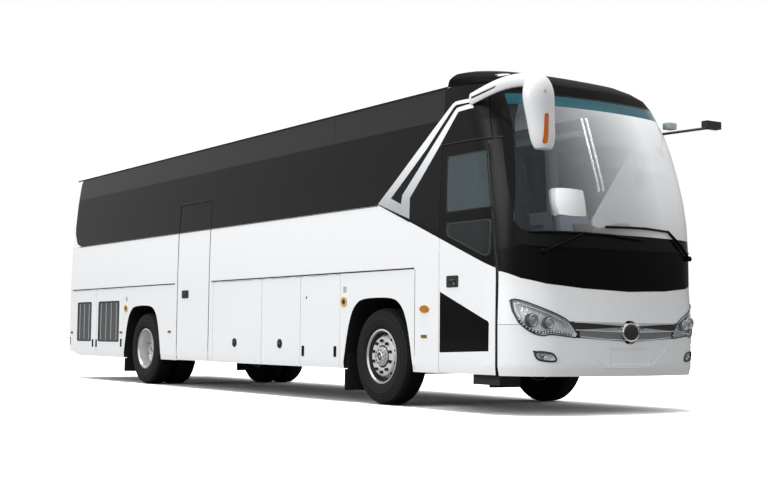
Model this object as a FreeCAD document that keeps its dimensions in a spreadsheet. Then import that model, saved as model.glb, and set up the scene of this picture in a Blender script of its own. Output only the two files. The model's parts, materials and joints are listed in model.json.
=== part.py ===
import FreeCAD, Part
import math
import os
import re
from FreeCAD import Placement, Rotation, Vector

# Coach bus, 12 m class, with a front and a middle passenger door on the right.
# Millimetres. X runs forward, Y to the left, Z up, and the wheels stand on Z = 0.

doc = FreeCAD.newDocument("coach_bus")
sheet = doc.addObject("Spreadsheet::Sheet", "sizes")

# Driving dimensions: plain numbers, each with its own alias
DRIVING = {
    # length, width and reach
    "front_overhang": 2510,
    "wheelbase": 6290,
    "rear_overhang": 3160,
    "mirror_reach": 320,
    "body_width": 2550,
    "mirror_overhang": 225,
    # heights above the ground
    "skirt_z": 370,
    "bumper_seam_z": 850,
    "mask_low_z": 1180,
    "door_corner_z": 1352,
    "hold_top_z": 1414,
    "scuttle_z": 1590,
    "belt_z": 2133,
    "mid_door_top_z": 2515,
    "front_door_top_z": 2646,
    "windscreen_top_z": 3130,
    "band_top_z": 3245,
    "roof_z": 3425,
    "cap_z": 3485,
    "aircon_z": 3575,
    "floor_z": 1440,
    "platform_z": 1140,
    "hold_floor_z": 650,
    # thicknesses and clearances
    "wall": 60,
    "glass": 8,
    "flap": 40,
    "door_leaf": 50,
    "plate": 30,
    "seam": 8,
    "fit": 0.3,
    "rebate_lip": 40,
    "running_gap": 6,
    # shape of the body in plan
    "front_bow": 3500,
    "front_corner": 600,
    "rear_bow": 10000,
    "rear_corner": 150,
    "end_wall": 300,
    "corner_post": 145,
    # side panels along the body
    "front_door_rear": 870,
    "front_door_width": 894,
    "door_lean": 160,
    "mid_door_ahead": 1216,
    "mid_door_width": 979,
    "hold_post": 134,
    "first_hold_width": 1361,
    "service_gap": 752,
    "service_width": 889,
    "arch_half": 675,
    "arch_top": 1145,
    "radiator_post": 719,
    "radiator_first": 1096,
    "radiator_second": 1242,
    # wheels and running gear
    "tyre_radius": 515,
    "tyre_width": 298,
    "rim_radius": 286,
    "wheel_face": 1235,
    "twin_spacing": 340,
    "kingpin_y": 930,
    "kingpin_radius": 28,
    "steering_arm": 220,
    "rail_y": 380,
    "rail_width": 80,
    "rail_height": 160,
    # luggage racks: distance of their inner edge from the middle
    "rack_edge_y": 740,
    # wheel discs
    "nut_circle": 335,
    "nut_radius": 17,
    "hand_hole_circle": 466,
    "hand_hole_radius": 22,
    # louvres
    "louvre_pitch": 46,
    "louvre_depth": 14,
    # lean of the nose above the doors
    "nose_lean": 200,
    # tow eyes
    "tow_eye_radius": 50,
    "tow_bore_radius": 25,
    "tow_eye_width": 40,
}

# Places worked out from them
DERIVED = {
    "half_width": "body_width / 2",
    "front_x": "(front_overhang + wheelbase + rear_overhang - mirror_reach) / 2",
    "rear_x": "front_x - front_overhang - wheelbase - rear_overhang",
    "front_axle_x": "front_x - front_overhang",
    "rear_axle_x": "front_axle_x - wheelbase",
    "door_back_x": "front_axle_x + front_door_rear + 256",
    "door_front_x": "door_back_x + front_door_width",
    "mid_door_back_x": "rear_axle_x + mid_door_ahead",
    "mid_door_front_x": "mid_door_back_x + mid_door_width",
    "hold_back_x": "mid_door_front_x + hold_post",
    "hold_split_x": "hold_back_x + first_hold_width",
    "service_front_x": "front_axle_x - service_gap",
    "service_back_x": "service_front_x - service_width",
    "radiator_front_x": "rear_axle_x - radiator_post",
    "radiator_split_x": "radiator_front_x - radiator_first",
    "radiator_back_x": "radiator_split_x - radiator_second",
}


def fill_sheet():
    """Writes every size and every derived place into the sheet."""
    row = 1
    for alias, value in DRIVING.items():
        sheet.set("A%d" % row, alias)
        sheet.set("B%d" % row, str(value))
        sheet.setAlias("B%d" % row, alias)
        row += 1
    for alias, formula in DERIVED.items():
        sheet.set("A%d" % row, alias)
        sheet.set("B%d" % row, "=" + formula)
        sheet.setAlias("B%d" % row, alias)
        row += 1
    doc.recompute()


fill_sheet()


class Sizes:
    """Reads a size from the sheet by its alias."""

    def __getattr__(self, alias):
        return float(sheet.get(alias))


s = Sizes()
ALIASES = sorted(list(DRIVING) + list(DERIVED), key=len, reverse=True)
ALIAS_WORD = re.compile(r"\b(" + "|".join(ALIASES) + r")\b")
NODES = []


def bind(obj, prop, formula):
    """Binds a property to a formula in the sheet's aliases."""
    obj.setExpression(prop, ALIAS_WORD.sub(r"sizes.\1", str(formula)))


def node(obj, label):
    """Marks an object as one sub-part, under its own label."""
    obj.Label = label
    NODES.append(obj)
    return obj


def box(name, x0, x1, y0, y1, z0, z1):
    """A box between six places, each a formula in the sheet's aliases."""
    obj = doc.addObject("Part::Box", name)
    bind(obj, "Placement.Base.x", x0)
    bind(obj, "Placement.Base.y", y0)
    bind(obj, "Placement.Base.z", z0)
    bind(obj, "Length", "(%s) - (%s)" % (x1, x0))
    bind(obj, "Width", "(%s) - (%s)" % (y1, y0))
    bind(obj, "Height", "(%s) - (%s)" % (z1, z0))
    return obj


def rod(name, x, y, z, radius, length, axis="z"):
    """A cylinder that starts at a place and runs along one axis."""
    obj = doc.addObject("Part::Cylinder", name)
    turns = {
        "z": Rotation(),
        "y": Rotation(Vector(1, 0, 0), -90),
        "x": Rotation(Vector(0, 1, 0), 90),
    }
    obj.Placement = Placement(Vector(), turns[axis])
    bind(obj, "Placement.Base.x", x)
    bind(obj, "Placement.Base.y", y)
    bind(obj, "Placement.Base.z", z)
    bind(obj, "Radius", radius)
    bind(obj, "Height", length)
    return obj


def fuse(name, pieces):
    """Joins pieces into one."""
    obj = doc.addObject("Part::MultiFuse", name)
    obj.Shapes = pieces
    obj.Refine = True
    return obj


def cut(name, base, tool):
    """Takes a tool out of a base."""
    obj = doc.addObject("Part::Cut", name)
    obj.Base = base
    obj.Tool = tool
    obj.Refine = True
    return obj


def gather(name, pieces):
    """Puts pieces that don't touch into one compound."""
    obj = doc.addObject("Part::Compound", name)
    obj.Links = pieces
    return obj


def made(name, shape):
    """A sub-part or tool whose shape is worked out in code."""
    obj = doc.addObject("Part::Feature", name)
    obj.Shape = shape
    obj.Placement = Placement()
    return obj


# Plan outlines of the body


def plan_wire(z, front_set, side_set, rear_set, inset):
    """One closed outline of the body seen from above, at a height."""
    nose = s.front_x - front_set - inset
    half = s.half_width - side_set - inset
    tail = s.rear_x + rear_set + inset
    bow, corner = s.front_bow - inset, s.front_corner - inset
    rear_bow, rear_corner = s.rear_bow - inset, s.rear_corner - inset
    side_y = half - corner
    centre = nose - bow
    corner_x = centre + math.sqrt((bow - corner) ** 2 - side_y ** 2)
    turn = math.asin(side_y / (bow - corner))
    rear_side_y = half - rear_corner
    rear_centre = tail + rear_bow
    rear_x = rear_centre - math.sqrt((rear_bow - rear_corner) ** 2 - rear_side_y ** 2)
    rear_turn = math.asin(rear_side_y / (rear_bow - rear_corner))

    def front(angle, sign):
        return Vector(corner_x + corner * math.cos(angle), sign * (side_y + corner * math.sin(angle)), z)

    def rear(angle, sign):
        y = sign * (rear_side_y + rear_corner * math.sin(angle))
        return Vector(rear_x - rear_corner * math.cos(angle), y, z)

    quarter = math.pi / 2
    middle = (turn + quarter) / 2
    rear_middle = (rear_turn + quarter) / 2
    edges = [
        Part.Arc(front(turn, -1), Vector(nose, 0, z), front(turn, 1)),
        Part.Arc(front(turn, 1), front(middle, 1), front(quarter, 1)),
        Part.LineSegment(front(quarter, 1), rear(quarter, 1)),
        Part.Arc(rear(quarter, 1), rear(rear_middle, 1), rear(rear_turn, 1)),
        Part.Arc(rear(rear_turn, 1), Vector(tail, 0, z), rear(rear_turn, -1)),
        Part.Arc(rear(rear_turn, -1), rear(rear_middle, -1), rear(quarter, -1)),
        Part.LineSegment(rear(quarter, -1), front(quarter, -1)),
        Part.Arc(front(quarter, -1), front(middle, -1), front(turn, -1)),
    ]
    return Part.Wire([edge.toShape() for edge in edges])


def body_levels():
    """Height, then how far the nose, the sides and the tail stand in there."""
    return [
        (s.skirt_z, 25, 10, 10),
        (s.skirt_z + 80, 5, 0, 0),
        (s.bumper_seam_z, 0, 0, 0),
        (s.mask_low_z + 40, 25, 0, 0),
        (s.scuttle_z, 30, 0, 5),
        (s.scuttle_z + 310, 50, 5, 15),
        (s.belt_z, 90, 10, 30),
        (s.belt_z + 247, 150, 25, 55),
        (s.front_door_top_z, 238, 37, 85),
        (s.front_door_top_z + 194, 320, 47, 110),
        (s.windscreen_top_z - 130, 415, 57, 140),
        (s.windscreen_top_z, 495, 67, 170),
        (s.band_top_z, 620, 75, 200),
    ]


def roof_levels():
    """The roof behind the front cap, from the top of the glass up."""
    rise = s.roof_z - s.band_top_z
    return [
        (s.band_top_z, 620, 75, 200),
        (s.band_top_z + rise * 0.35, 620, 92, 240),
        (s.band_top_z + rise * 0.62, 620, 130, 300),
        (s.band_top_z + rise * 0.82, 620, 200, 400),
        (s.band_top_z + rise * 0.94, 620, 290, 560),
        (s.roof_z, 620, 400, 800),
    ]


def cap_levels():
    """The domed cap over the windscreen."""
    rise = s.cap_z - s.windscreen_top_z
    return [
        (s.windscreen_top_z, 495, 67, 170),
        (s.windscreen_top_z + rise * 0.32, 600, 73, 200),
        (s.windscreen_top_z + rise * 0.55, 740, 95, 200),
        (s.windscreen_top_z + rise * 0.75, 900, 150, 200),
        (s.windscreen_top_z + rise * 0.90, 1090, 260, 200),
        (s.cap_z, 1290, 470, 200),
    ]


def loft(levels, inset, drop=0.0, lift=0.0):
    """A solid through plan outlines, set in all round and cut lower at its top."""
    wires = []
    last = len(levels) - 1
    for i, (z, front_set, side_set, rear_set) in enumerate(levels):
        height = z - (drop if i == last else 0.0) + (lift if i == 0 else 0.0)
        wires.append(plan_wire(height, front_set, side_set, rear_set, inset))
    return Part.makeLoft(wires, True, True)


def prism(points, y0, y1, slant=0.0):
    """A flat outline in X and Z, pulled from one Y to another, moving in X by slant."""
    corners = [Vector(x, y0, z) for x, z in points]
    face = Part.Face(Part.makePolygon(corners + corners[:1]))
    return face.extrude(Vector(slant * abs(y1 - y0), y1 - y0, 0))


def front_prism(points, x0, x1):
    """A flat outline in Y and Z, pulled along X."""
    corners = [Vector(x0, y, z) for y, z in points]
    face = Part.Face(Part.makePolygon(corners + corners[:1]))
    return face.extrude(Vector(x1 - x0, 0, 0))


def block(x0, x1, y0, y1, z0, z1):
    """A box as a bare shape."""
    return Part.makeBox(x1 - x0, y1 - y0, z1 - z0, Vector(x0, y0, z0))


def edge_normal(start, end, turn):
    """Unit vector that points out of an outline at one of its edges."""
    dx, dz = end[0] - start[0], end[1] - start[1]
    length = math.hypot(dx, dz)
    return turn * dz / length, -turn * dx / length


def grown(points, margin):
    """The same outline, with each edge moved out by a margin."""
    after = points[1:] + points[:1]
    before = points[-1:] + points[:-1]
    turn = math.copysign(1, sum(a[0] * b[1] - b[0] * a[1] for a, b in zip(points, after)))
    moved = []
    for last, here, following in zip(before, points, after):
        ax, az = edge_normal(last, here, turn)
        bx, bz = edge_normal(here, following, turn)
        scale = margin / max(0.2, 1 + ax * bx + az * bz)
        moved.append((here[0] + scale * (ax + bx), here[1] + scale * (az + bz)))
    return moved


def side_slab(side, depth_out=40, depth_in=400):
    """The Y range that one side wall takes up."""
    if side < 0:
        return -s.half_width - depth_out, -s.half_width + depth_in
    return s.half_width - depth_in, s.half_width + depth_out


def mirrored(points):
    """An outline in Y and Z, flipped to the other side."""
    return [(-y, z) for y, z in reversed(points)]


# Full-height solids that the panels are cut from
OUTER = loft(body_levels(), 0)
GLASS_BACK = loft(body_levels(), s.glass)
GLASS_SEAT = loft(body_levels(), s.glass + s.fit)
FLAP_BACK = loft(body_levels(), s.flap)
FLAP_SEAT = loft(body_levels(), s.flap + s.running_gap)
LEAF_BACK = loft(body_levels(), s.door_leaf)
INNER = loft(body_levels(), s.wall)
INNER_SEAT = loft(body_levels(), s.wall + s.fit)
OUTER_CLEAR = loft(body_levels(), -s.fit)
WALL_SHELL = OUTER.cut(INNER)
GLASS_SHELL = OUTER.cut(GLASS_BACK)
GLASS_REBATE = OUTER.cut(GLASS_SEAT)
FLAP_SHELL = OUTER.cut(FLAP_BACK)
FLAP_REBATE = OUTER.cut(FLAP_SEAT)
LEAF_SHELL = OUTER.cut(LEAF_BACK)

BIG = 20000


def lean_x(z):
    """X of the front door's front edge at a height: it leans back above the corner."""
    rise = max(0.0, z - s.door_corner_z)
    return s.door_front_x - s.door_lean * rise / (s.front_door_top_z - s.door_corner_z)


def nose_split_x(z):
    """X where the nose meets the side wall, at a height above the front door."""
    rise = (z - s.front_door_top_z) / (s.band_top_z - s.front_door_top_z)
    return lean_x(s.front_door_top_z) - s.nose_lean * rise


def front_zone(gap):
    """Everything ahead of the front door, on both sides."""
    top = s.band_top_z
    return [
        (s.door_front_x + gap, s.skirt_z - 50),
        (s.door_front_x + gap, s.door_corner_z),
        (nose_split_x(s.front_door_top_z) + gap, s.front_door_top_z),
        (nose_split_x(top) + gap, top),
        (nose_split_x(top) + gap, top + 50),
        (s.front_x + 100, top + 50),
        (s.front_x + 100, s.skirt_z - 50),
    ]


def door_outline(gap):
    """The front door's outline, less a gap all round."""
    return [
        (s.door_back_x + gap, s.skirt_z + 5),
        (s.door_front_x - gap, s.skirt_z + 5),
        (s.door_front_x - gap, s.door_corner_z),
        (lean_x(s.front_door_top_z - gap) - gap, s.front_door_top_z - gap),
        (s.door_back_x + gap, s.front_door_top_z - gap),
    ]


def mid_door_outline(gap):
    """The middle door's outline, less a gap all round."""
    return [
        (s.mid_door_back_x + gap, s.skirt_z + 5),
        (s.mid_door_front_x - gap, s.skirt_z + 5),
        (s.mid_door_front_x - gap, s.mid_door_top_z - gap),
        (s.mid_door_back_x + gap, s.mid_door_top_z - gap),
    ]


def eased(points, rounds):
    """A chain of points with its corners cut, so that it reads as a curve; its ends stay."""
    for _ in range(rounds):
        cut_points = [points[0]]
        for (x0, z0), (x1, z1) in zip(points, points[1:]):
            cut_points.append((0.75 * x0 + 0.25 * x1, 0.75 * z0 + 0.25 * z1))
            cut_points.append((0.25 * x0 + 0.75 * x1, 0.25 * z0 + 0.75 * z1))
        points = cut_points + [points[-1]]
    return points


def arch_outline(axle_x, margin):
    """A wheel arch: straight legs that lean in, and a rounded top."""
    half, top = s.arch_half + margin, s.arch_top + margin
    chain = [
        (axle_x - half, s.skirt_z + 60),
        (axle_x - half + 75, s.skirt_z + 400),
        (axle_x - half + 150, s.skirt_z + 600),
        (axle_x - half + 235, top - 75),
        (axle_x - half + 360, top - 12),
        (axle_x, top),
        (axle_x + half - 360, top - 12),
        (axle_x + half - 235, top - 75),
        (axle_x + half - 150, s.skirt_z + 600),
        (axle_x + half - 75, s.skirt_z + 400),
        (axle_x + half, s.skirt_z + 60),
    ]
    low = s.skirt_z - 50
    return [(axle_x - half, low)] + eased(chain, 2) + [(axle_x + half, low)]


def tail_wedge():
    """The rear skirt sweeps up behind the rear wheels."""
    return prism([
        (s.rear_x - 50, s.skirt_z - 60),
        (s.rear_x + 640, s.skirt_z - 60),
        (s.rear_x + 640, s.skirt_z),
        (s.rear_x - 50, s.skirt_z + 110),
    ], -BIG / 2, BIG / 2)


TAIL_WEDGE = tail_wedge()

FLAPS = {
    "luggage_door_right_rear": (-1, "hold_back_x", "hold_split_x"),
    "luggage_door_right_front": (-1, "hold_split_x", "service_back_x"),
    "service_door_right": (-1, "service_back_x", "service_front_x"),
    "luggage_door_left_rear": (1, "mid_door_back_x", "first_left_x"),
    "luggage_door_left_front": (1, "first_left_x", "service_back_x"),
    "service_door_left": (1, "service_back_x", "service_front_x"),
    "radiator_door_front": (-1, "radiator_split_x", "radiator_front_x"),
    "radiator_door_rear": (-1, "radiator_back_x", "radiator_split_x"),
    "engine_door_left": (1, "radiator_back_x", "radiator_front_x"),
}


def place_of(name):
    """X of a named seam; the left hold is split in half."""
    if name == "first_left_x":
        return (s.mid_door_back_x + s.service_back_x) / 2
    return float(sheet.get(name))


def flap_outline(x0, x1, inset):
    """A top-hinged flap between two seams, down past the skirt."""
    return [
        (x0 + inset, s.skirt_z - 50),
        (x1 - inset, s.skirt_z - 50),
        (x1 - inset, s.hold_top_z - inset),
        (x0 + inset, s.hold_top_z - inset),
    ]


def tail_core(gap):
    """The middle of the tail, between the two corner posts."""
    y = s.half_width - s.corner_post + gap
    return block(s.rear_x - 100, s.rear_x + s.end_wall, -y, y, s.skirt_z - 50, s.band_top_z + 50)


def window_edges():
    """X ranges of the side windows' openings, from the rear."""
    first = s.rear_x + 560
    last = s.front_axle_x - 120
    count = 6
    pillar = 110
    pitch = (last - first + pillar) / count
    return [(first + i * pitch, first + (i + 1) * pitch - pillar) for i in range(count)]


def band_outline(side):
    """The black band down one side, with its rounded rear end."""
    rear = s.rear_x + 200
    shoulder, top = s.front_door_top_z, s.band_top_z - s.seam
    if side < 0:
        front = s.door_back_x - s.seam
        nose = [(front, s.belt_z - 353), (front, top)]
    else:
        front = lean_x(shoulder) - 40
        nose = [(front, s.belt_z - 633), (front, shoulder), (nose_split_x(top) - 40, top)]
    return [(rear + 370, s.belt_z), (s.front_axle_x + 15, s.belt_z)] + nose + [
        (rear + 220, top), (rear + 120, top - 90), (rear + 30, s.belt_z + 830), (rear, s.belt_z + 720),
        (rear + 18, s.belt_z + 420), (rear + 70, s.belt_z + 220), (rear + 180, s.belt_z + 60),
    ]


def driver_window():
    """The opening of the driver's side window, above the slope of the band."""
    back, front = s.front_axle_x + 110, lean_x(s.front_door_top_z) - 130
    top = s.windscreen_top_z - 230
    return [(back, s.belt_z + 57), (front, s.belt_z - 511), (front - 55, top), (back, top)]


def side_wall(side):
    """One side wall: posts, rails and skin, with its doors, arches and windows cut."""
    y0, y1 = side_slab(side)
    back = s.rear_x - 50
    front = s.door_back_x if side < 0 else s.door_front_x
    zone = [
        (back, s.skirt_z - 50),
        (front, s.skirt_z - 50),
        (front, s.door_corner_z if side > 0 else s.front_door_top_z),
        (nose_split_x(s.front_door_top_z), s.front_door_top_z),
        (nose_split_x(s.band_top_z), s.band_top_z),
        (back, s.band_top_z),
    ]
    wall = WALL_SHELL.common(prism(zone, y0, y1))
    holes = [GLASS_REBATE.common(prism(grown(band_outline(side), s.fit), y0, y1))]
    for x0, x1 in window_edges():
        holes.append(block(x0, x1, y0, y1, s.belt_z + 90, s.band_top_z - 190))
    for axle_x in (s.front_axle_x, s.rear_axle_x):
        holes.append(prism(arch_outline(axle_x, 0), y0, y1))
    for flap_side, name0, name1 in FLAPS.values():
        if flap_side != side:
            continue
        x0, x1 = place_of(name0), place_of(name1)
        holes.append(FLAP_REBATE.common(prism(flap_outline(x0, x1, 0), y0, y1)))
        holes.append(prism(flap_outline(x0, x1, s.rebate_lip), y0, y1))
    if side < 0:
        holes.append(prism(mid_door_outline(0), y0, y1))
        holes.append(block(s.mid_door_back_x, s.mid_door_front_x, y0, y1, s.skirt_z - 50, s.skirt_z + 50))
    else:
        holes.append(prism(driver_window(), y0, y1))
        holes += lamp_tools(3)
    holes += [TAIL_WEDGE, tail_core(s.fit)]
    return wall.cut(holes)


def side_glass(side):
    """The bonded glass band, cut round the middle door on the right."""
    y0, y1 = side_slab(side)
    glass = GLASS_SHELL.common(prism(band_outline(side), y0, y1))
    if side < 0:
        glass = glass.cut(prism(grown(mid_door_outline(0), s.fit), y0, y1))
    return glass


def hinge_barrel(start, along, inward):
    """A barrel on a flap's hinge line and the leaf that ties it to the flap's top edge."""
    length = 160
    radius = s.seam / 2 - s.fit
    barrel = Part.makeCylinder(radius, length, start, along)
    depth = Vector(0, inward * 5, 0) if along.x else Vector(inward * 5, 0, 0)
    foot = start - Vector(0, 0, s.seam / 2 + 3)
    corner = Vector(min(foot.x, foot.x + depth.x), min(foot.y, foot.y + depth.y), foot.z)
    if along.x:
        leaf = Part.makeBox(length, 5, s.seam / 2 + 3, corner)
    else:
        leaf = Part.makeBox(5, length, s.seam / 2 + 3, corner)
    return [barrel, leaf]


GRILLES = ("radiator_door_rear", "radiator_door_front", "engine_door_left")
GRILLE_LOW, GRILLE_HIGH = 238, 192
REAR_GRILLE_INSETS = (423, 226)
FRONT_GRILLE_INSETS = (91, 172)


def corrugated(x0, x1, y_out, z0, z1):
    """A louvred plate of upright ribs, as wide as its opening."""
    count = max(3, int((x1 - x0) / s.louvre_pitch))
    step = (x1 - x0) / count
    side = math.copysign(1, y_out)
    deep = y_out - side * s.louvre_depth
    back = deep - side * s.glass
    points = [Vector(x0, back, z0)]
    for i in range(count):
        x = x0 + i * step
        points += [Vector(x, deep, z0), Vector(x + step * 0.2, y_out, z0), Vector(x + step * 0.7, y_out, z0),
                   Vector(x + step * 0.9, deep, z0)]
    points += [Vector(x1, deep, z0), Vector(x1, back, z0)]
    return Part.Face(Part.makePolygon(points + points[:1])).extrude(Vector(0, 0, z1 - z0))


def grille_places(name):
    """X ranges of a flap's louvred openings, from its own seams."""
    rear = (s.radiator_back_x + REAR_GRILLE_INSETS[0], s.radiator_split_x - REAR_GRILLE_INSETS[1])
    front = (s.radiator_split_x + FRONT_GRILLE_INSETS[0], s.radiator_front_x - FRONT_GRILLE_INSETS[1])
    places = {
        "radiator_door_rear": [rear],
        "radiator_door_front": [front],
        "engine_door_left": [rear, front],
    }
    return places[name]


def louvred(skin, name):
    """A flap with its louvred openings."""
    side = FLAPS[name][0]
    z0, z1 = s.skirt_z + GRILLE_LOW, s.hold_top_z - GRILLE_HIGH
    y0, y1 = side_slab(side)
    for x0, x1 in grille_places(name):
        skin = skin.cut(block(x0, x1, y0, y1, z0, z1))
        plate = corrugated(x0 - 1, x1 + 1, side * (s.half_width - 6), z0 - 1, z1 + 1)
        skin = skin.fuse(plate)
    return skin


def flap_shape(name):
    """One outside flap, with the wheel arch and rear sweep respected."""
    side, name0, name1 = FLAPS[name]
    y0, y1 = side_slab(side)
    x0, x1 = place_of(name0), place_of(name1)
    skin = FLAP_SHELL.common(prism(flap_outline(x0, x1, s.seam / 2), y0, y1))
    if name in GRILLES:
        skin = louvred(skin, name)
    pieces = []
    for x in (x0 + s.seam + 60, x1 - s.seam - 260):
        pin = Vector(x, side * s.half_width, s.hold_top_z - s.seam / 2)
        pieces += hinge_barrel(pin, Vector(1, 0, 0), -side)
    return skin.cut(TAIL_WEDGE).fuse(pieces)


# Front end


def windscreen_outline(inset):
    """The windscreen seen from the side: it ends on a leaning line at each corner."""
    foot = s.door_front_x + 150
    return [
        (foot + inset, s.scuttle_z + inset),
        (foot - 25 + inset, s.scuttle_z + 310),
        (foot - 339 + inset, s.windscreen_top_z - 52 - inset),
        (foot - 355 + inset, s.windscreen_top_z - inset),
        (s.front_x + 100, s.windscreen_top_z - inset),
        (s.front_x + 100, s.scuttle_z + inset),
    ]


def mask_line(z_shift):
    """The lower edge of the black mask, seen from the front."""
    drop = s.mask_low_z + z_shift
    corner = s.door_corner_z + z_shift
    reach = s.half_width + 100
    points = [(-reach, corner + 20), (-1220, corner), (-1115, drop + 108), (-920, drop + 57)]
    points += [(-540, drop + 20), (0, drop), (540, drop + 20), (920, drop + 57)]
    points += [(1115, drop + 108), (1220, corner), (reach, corner + 20)]
    return points


def on_nose(points):
    """An outline drawn from the side wall and from the bumper's seam, as Y and Z."""
    return [(inset - s.half_width, s.bumper_seam_z + rise) for inset, rise in points]


def headlamp_outline(margin):
    """The right headlamp seen from the front: a swept leaf shape."""
    points = on_nose([
        (91, 232), (162, 228), (291, 170), (413, 117), (516, 69), (572, 34), (678, -117), (476, -95),
        (361, -86), (253, -84), (192, -48), (139, 16), (104, 123),
    ])
    return grown(points, margin)


def grille_outline(margin):
    """The bright strip between the headlamps; its ends run on behind them."""
    seam, high, low = s.bumper_seam_z, s.half_width - 560, s.half_width - 663
    top = [(-high, seam + 36 + margin), (0, seam + 27 + margin), (high, seam + 36 + margin)]
    return top + [(low, seam - 113 - margin), (0, seam - 148 - margin), (-low, seam - 113 - margin)]


def fog_outline(margin):
    """The right fog lamp in the bumper."""
    points = on_nose([(237, -242), (395, -258), (430, -294), (433, -342), (299, -332), (260, -313)])
    return grown(points, margin)


NEAR_X = 4800


def lamp_tools(margin):
    """Prisms of the headlamps and of the fog lamps, both sides."""
    far = s.front_x + 100
    return [
        front_prism(headlamp_outline(margin), NEAR_X, far),
        front_prism(mirrored(headlamp_outline(margin)), NEAR_X, far),
        front_prism(fog_outline(margin), NEAR_X, far),
        front_prism(mirrored(fog_outline(margin)), NEAR_X, far),
    ]


PLATE_HALF, PLATE_RISE = 255, (110, 270)
PLATE_RECESS = OUTER.cut(loft(body_levels(), 5))


def rear_outline(y_half, z0, z1):
    """A rectangle in Y and Z about the middle."""
    return [(-y_half, z0), (y_half, z0), (y_half, z1), (-y_half, z1)]


def largest(shape):
    """The biggest solid of a shape, without the slivers a cut can leave."""
    return max(shape.Solids, key=lambda solid: solid.Volume)


def front_body(kind):
    """The bumper, the white panel or the black mask, cut from the nose of the shell."""
    nose = WALL_SHELL.common(prism(front_zone(s.seam), -BIG / 2, BIG / 2))
    far = s.front_x + 100
    reach = s.half_width + 100
    lamps = lamp_tools(3)
    disc_foot = Vector(NEAR_X, 0, s.bumper_seam_z - 60)
    disc_room = Part.makeCylinder(115, far - NEAR_X, disc_foot, Vector(1, 0, 0))
    grille = front_prism(grille_outline(3), NEAR_X, far).fuse(disc_room)
    if kind == "bumper":
        zone = block(NEAR_X, far, -reach, reach, s.skirt_z - 50, s.bumper_seam_z)
        plate = rear_outline(PLATE_HALF, s.skirt_z + PLATE_RISE[0], s.skirt_z + PLATE_RISE[1])
        recess = PLATE_RECESS.common(front_prism(plate, NEAR_X, far))
        return largest(nose.common(zone).cut(lamps + [grille, recess]))
    if kind == "panel":
        edge = mask_line(0)
        outline = [(-reach, s.bumper_seam_z + 4)] + edge + [(reach, s.bumper_seam_z + 4)]
        return nose.common(front_prism(outline, NEAR_X, far)).cut(lamps + [grille])
    edge = mask_line(4)
    outline = [(-reach, s.windscreen_top_z)] + edge + [(reach, s.windscreen_top_z)]
    mask = nose.common(front_prism(outline, NEAR_X - 400, far))
    rebate = GLASS_REBATE.common(prism(windscreen_outline(-s.fit), -BIG / 2, BIG / 2))
    hole = prism(windscreen_outline(60), -BIG / 2, BIG / 2)
    return mask.cut([rebate, hole])


def front_lamps():
    """Headlamps and fog lamps as solid units in their recesses."""
    lamps = [WALL_SHELL.common(tool) for tool in lamp_tools(2.5)]
    return Part.makeCompound(lamps)


def grille_strip():
    """The grille strip between the headlamps, less deep than the wall."""
    tool = front_prism(grille_outline(2.7), NEAR_X, s.front_x + 100)
    strip = largest(FLAP_SHELL.common(tool).cut(lamp_tools(3)))
    disc = Part.makeCylinder(1, 30, Vector(), Vector(1, 0, 0))
    stretch = FreeCAD.Matrix(1, 0, 0, s.front_x - 20, 0, 112, 0, 0, 0, 0, 84, s.bumper_seam_z - 60)
    return strip.fuse(disc.transformGeometry(stretch))


def door_leaf(outline, slant):
    """A door leaf whose leading edge is cut on the slant, so that it can swing out."""
    y0, y1 = side_slab(-1, 60, 300)
    shape = LEAF_SHELL.common(prism(outline, y0, y1))
    sloped = prism(outline, -s.half_width, -s.half_width + 200, slant)
    outer = prism(outline, y0, -s.half_width)
    return shape.common(sloped.fuse(outer))


def front_door_windows(margin):
    """The front door's three panes."""
    x0, x1 = s.door_back_x + 110, s.door_front_x
    z, low = s.belt_z, s.skirt_z + 205
    return [
        grown([(x0, z - 172), (x1 - 95, z - 161), (x1 - 205, z + 402), (x0, z + 392)], margin),
        grown([(x0, z - 398), (x0, z - 271), (x1 - 80, z - 278), (x1 - 65, z - 562), (x1 - 112, z - 633)], margin),
        grown([(x0 - 92, low), (x1 - 97, low + 23), (x1 - 92, low + 290), (x1 - 112, low + 312),
               (x0 - 92, low + 605)], margin),
    ]


def front_door():
    """The front door's leaf with its panes cut out."""
    leaf = door_leaf(door_outline(s.seam / 2), -0.55)
    y0, y1 = side_slab(-1)
    return leaf.cut([prism(points, y0, y1) for points in front_door_windows(0)])


def front_door_glass():
    """The three panes of the front door."""
    y0, y1 = side_slab(-1)
    return Part.makeCompound([GLASS_SHELL.common(prism(points, y0, y1)) for points in front_door_windows(-s.fit)])


def mid_door_pane(margin):
    """The pane in the top of the middle door."""
    return grown([
        (s.mid_door_back_x + 12, s.belt_z),
        (s.mid_door_front_x - 12, s.belt_z),
        (s.mid_door_front_x - 12, s.mid_door_top_z - 12),
        (s.mid_door_back_x + 12, s.mid_door_top_z - 12),
    ], margin)


def mid_door():
    """The middle door's leaf; its pane covers a smaller opening."""
    leaf = door_leaf(mid_door_outline(s.seam / 2), 0.55)
    y0, y1 = side_slab(-1)
    rebate = GLASS_REBATE.common(prism(mid_door_pane(s.fit), y0, y1))
    opening = prism(mid_door_pane(-110), y0, y1)
    return leaf.cut([rebate, opening])


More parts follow.
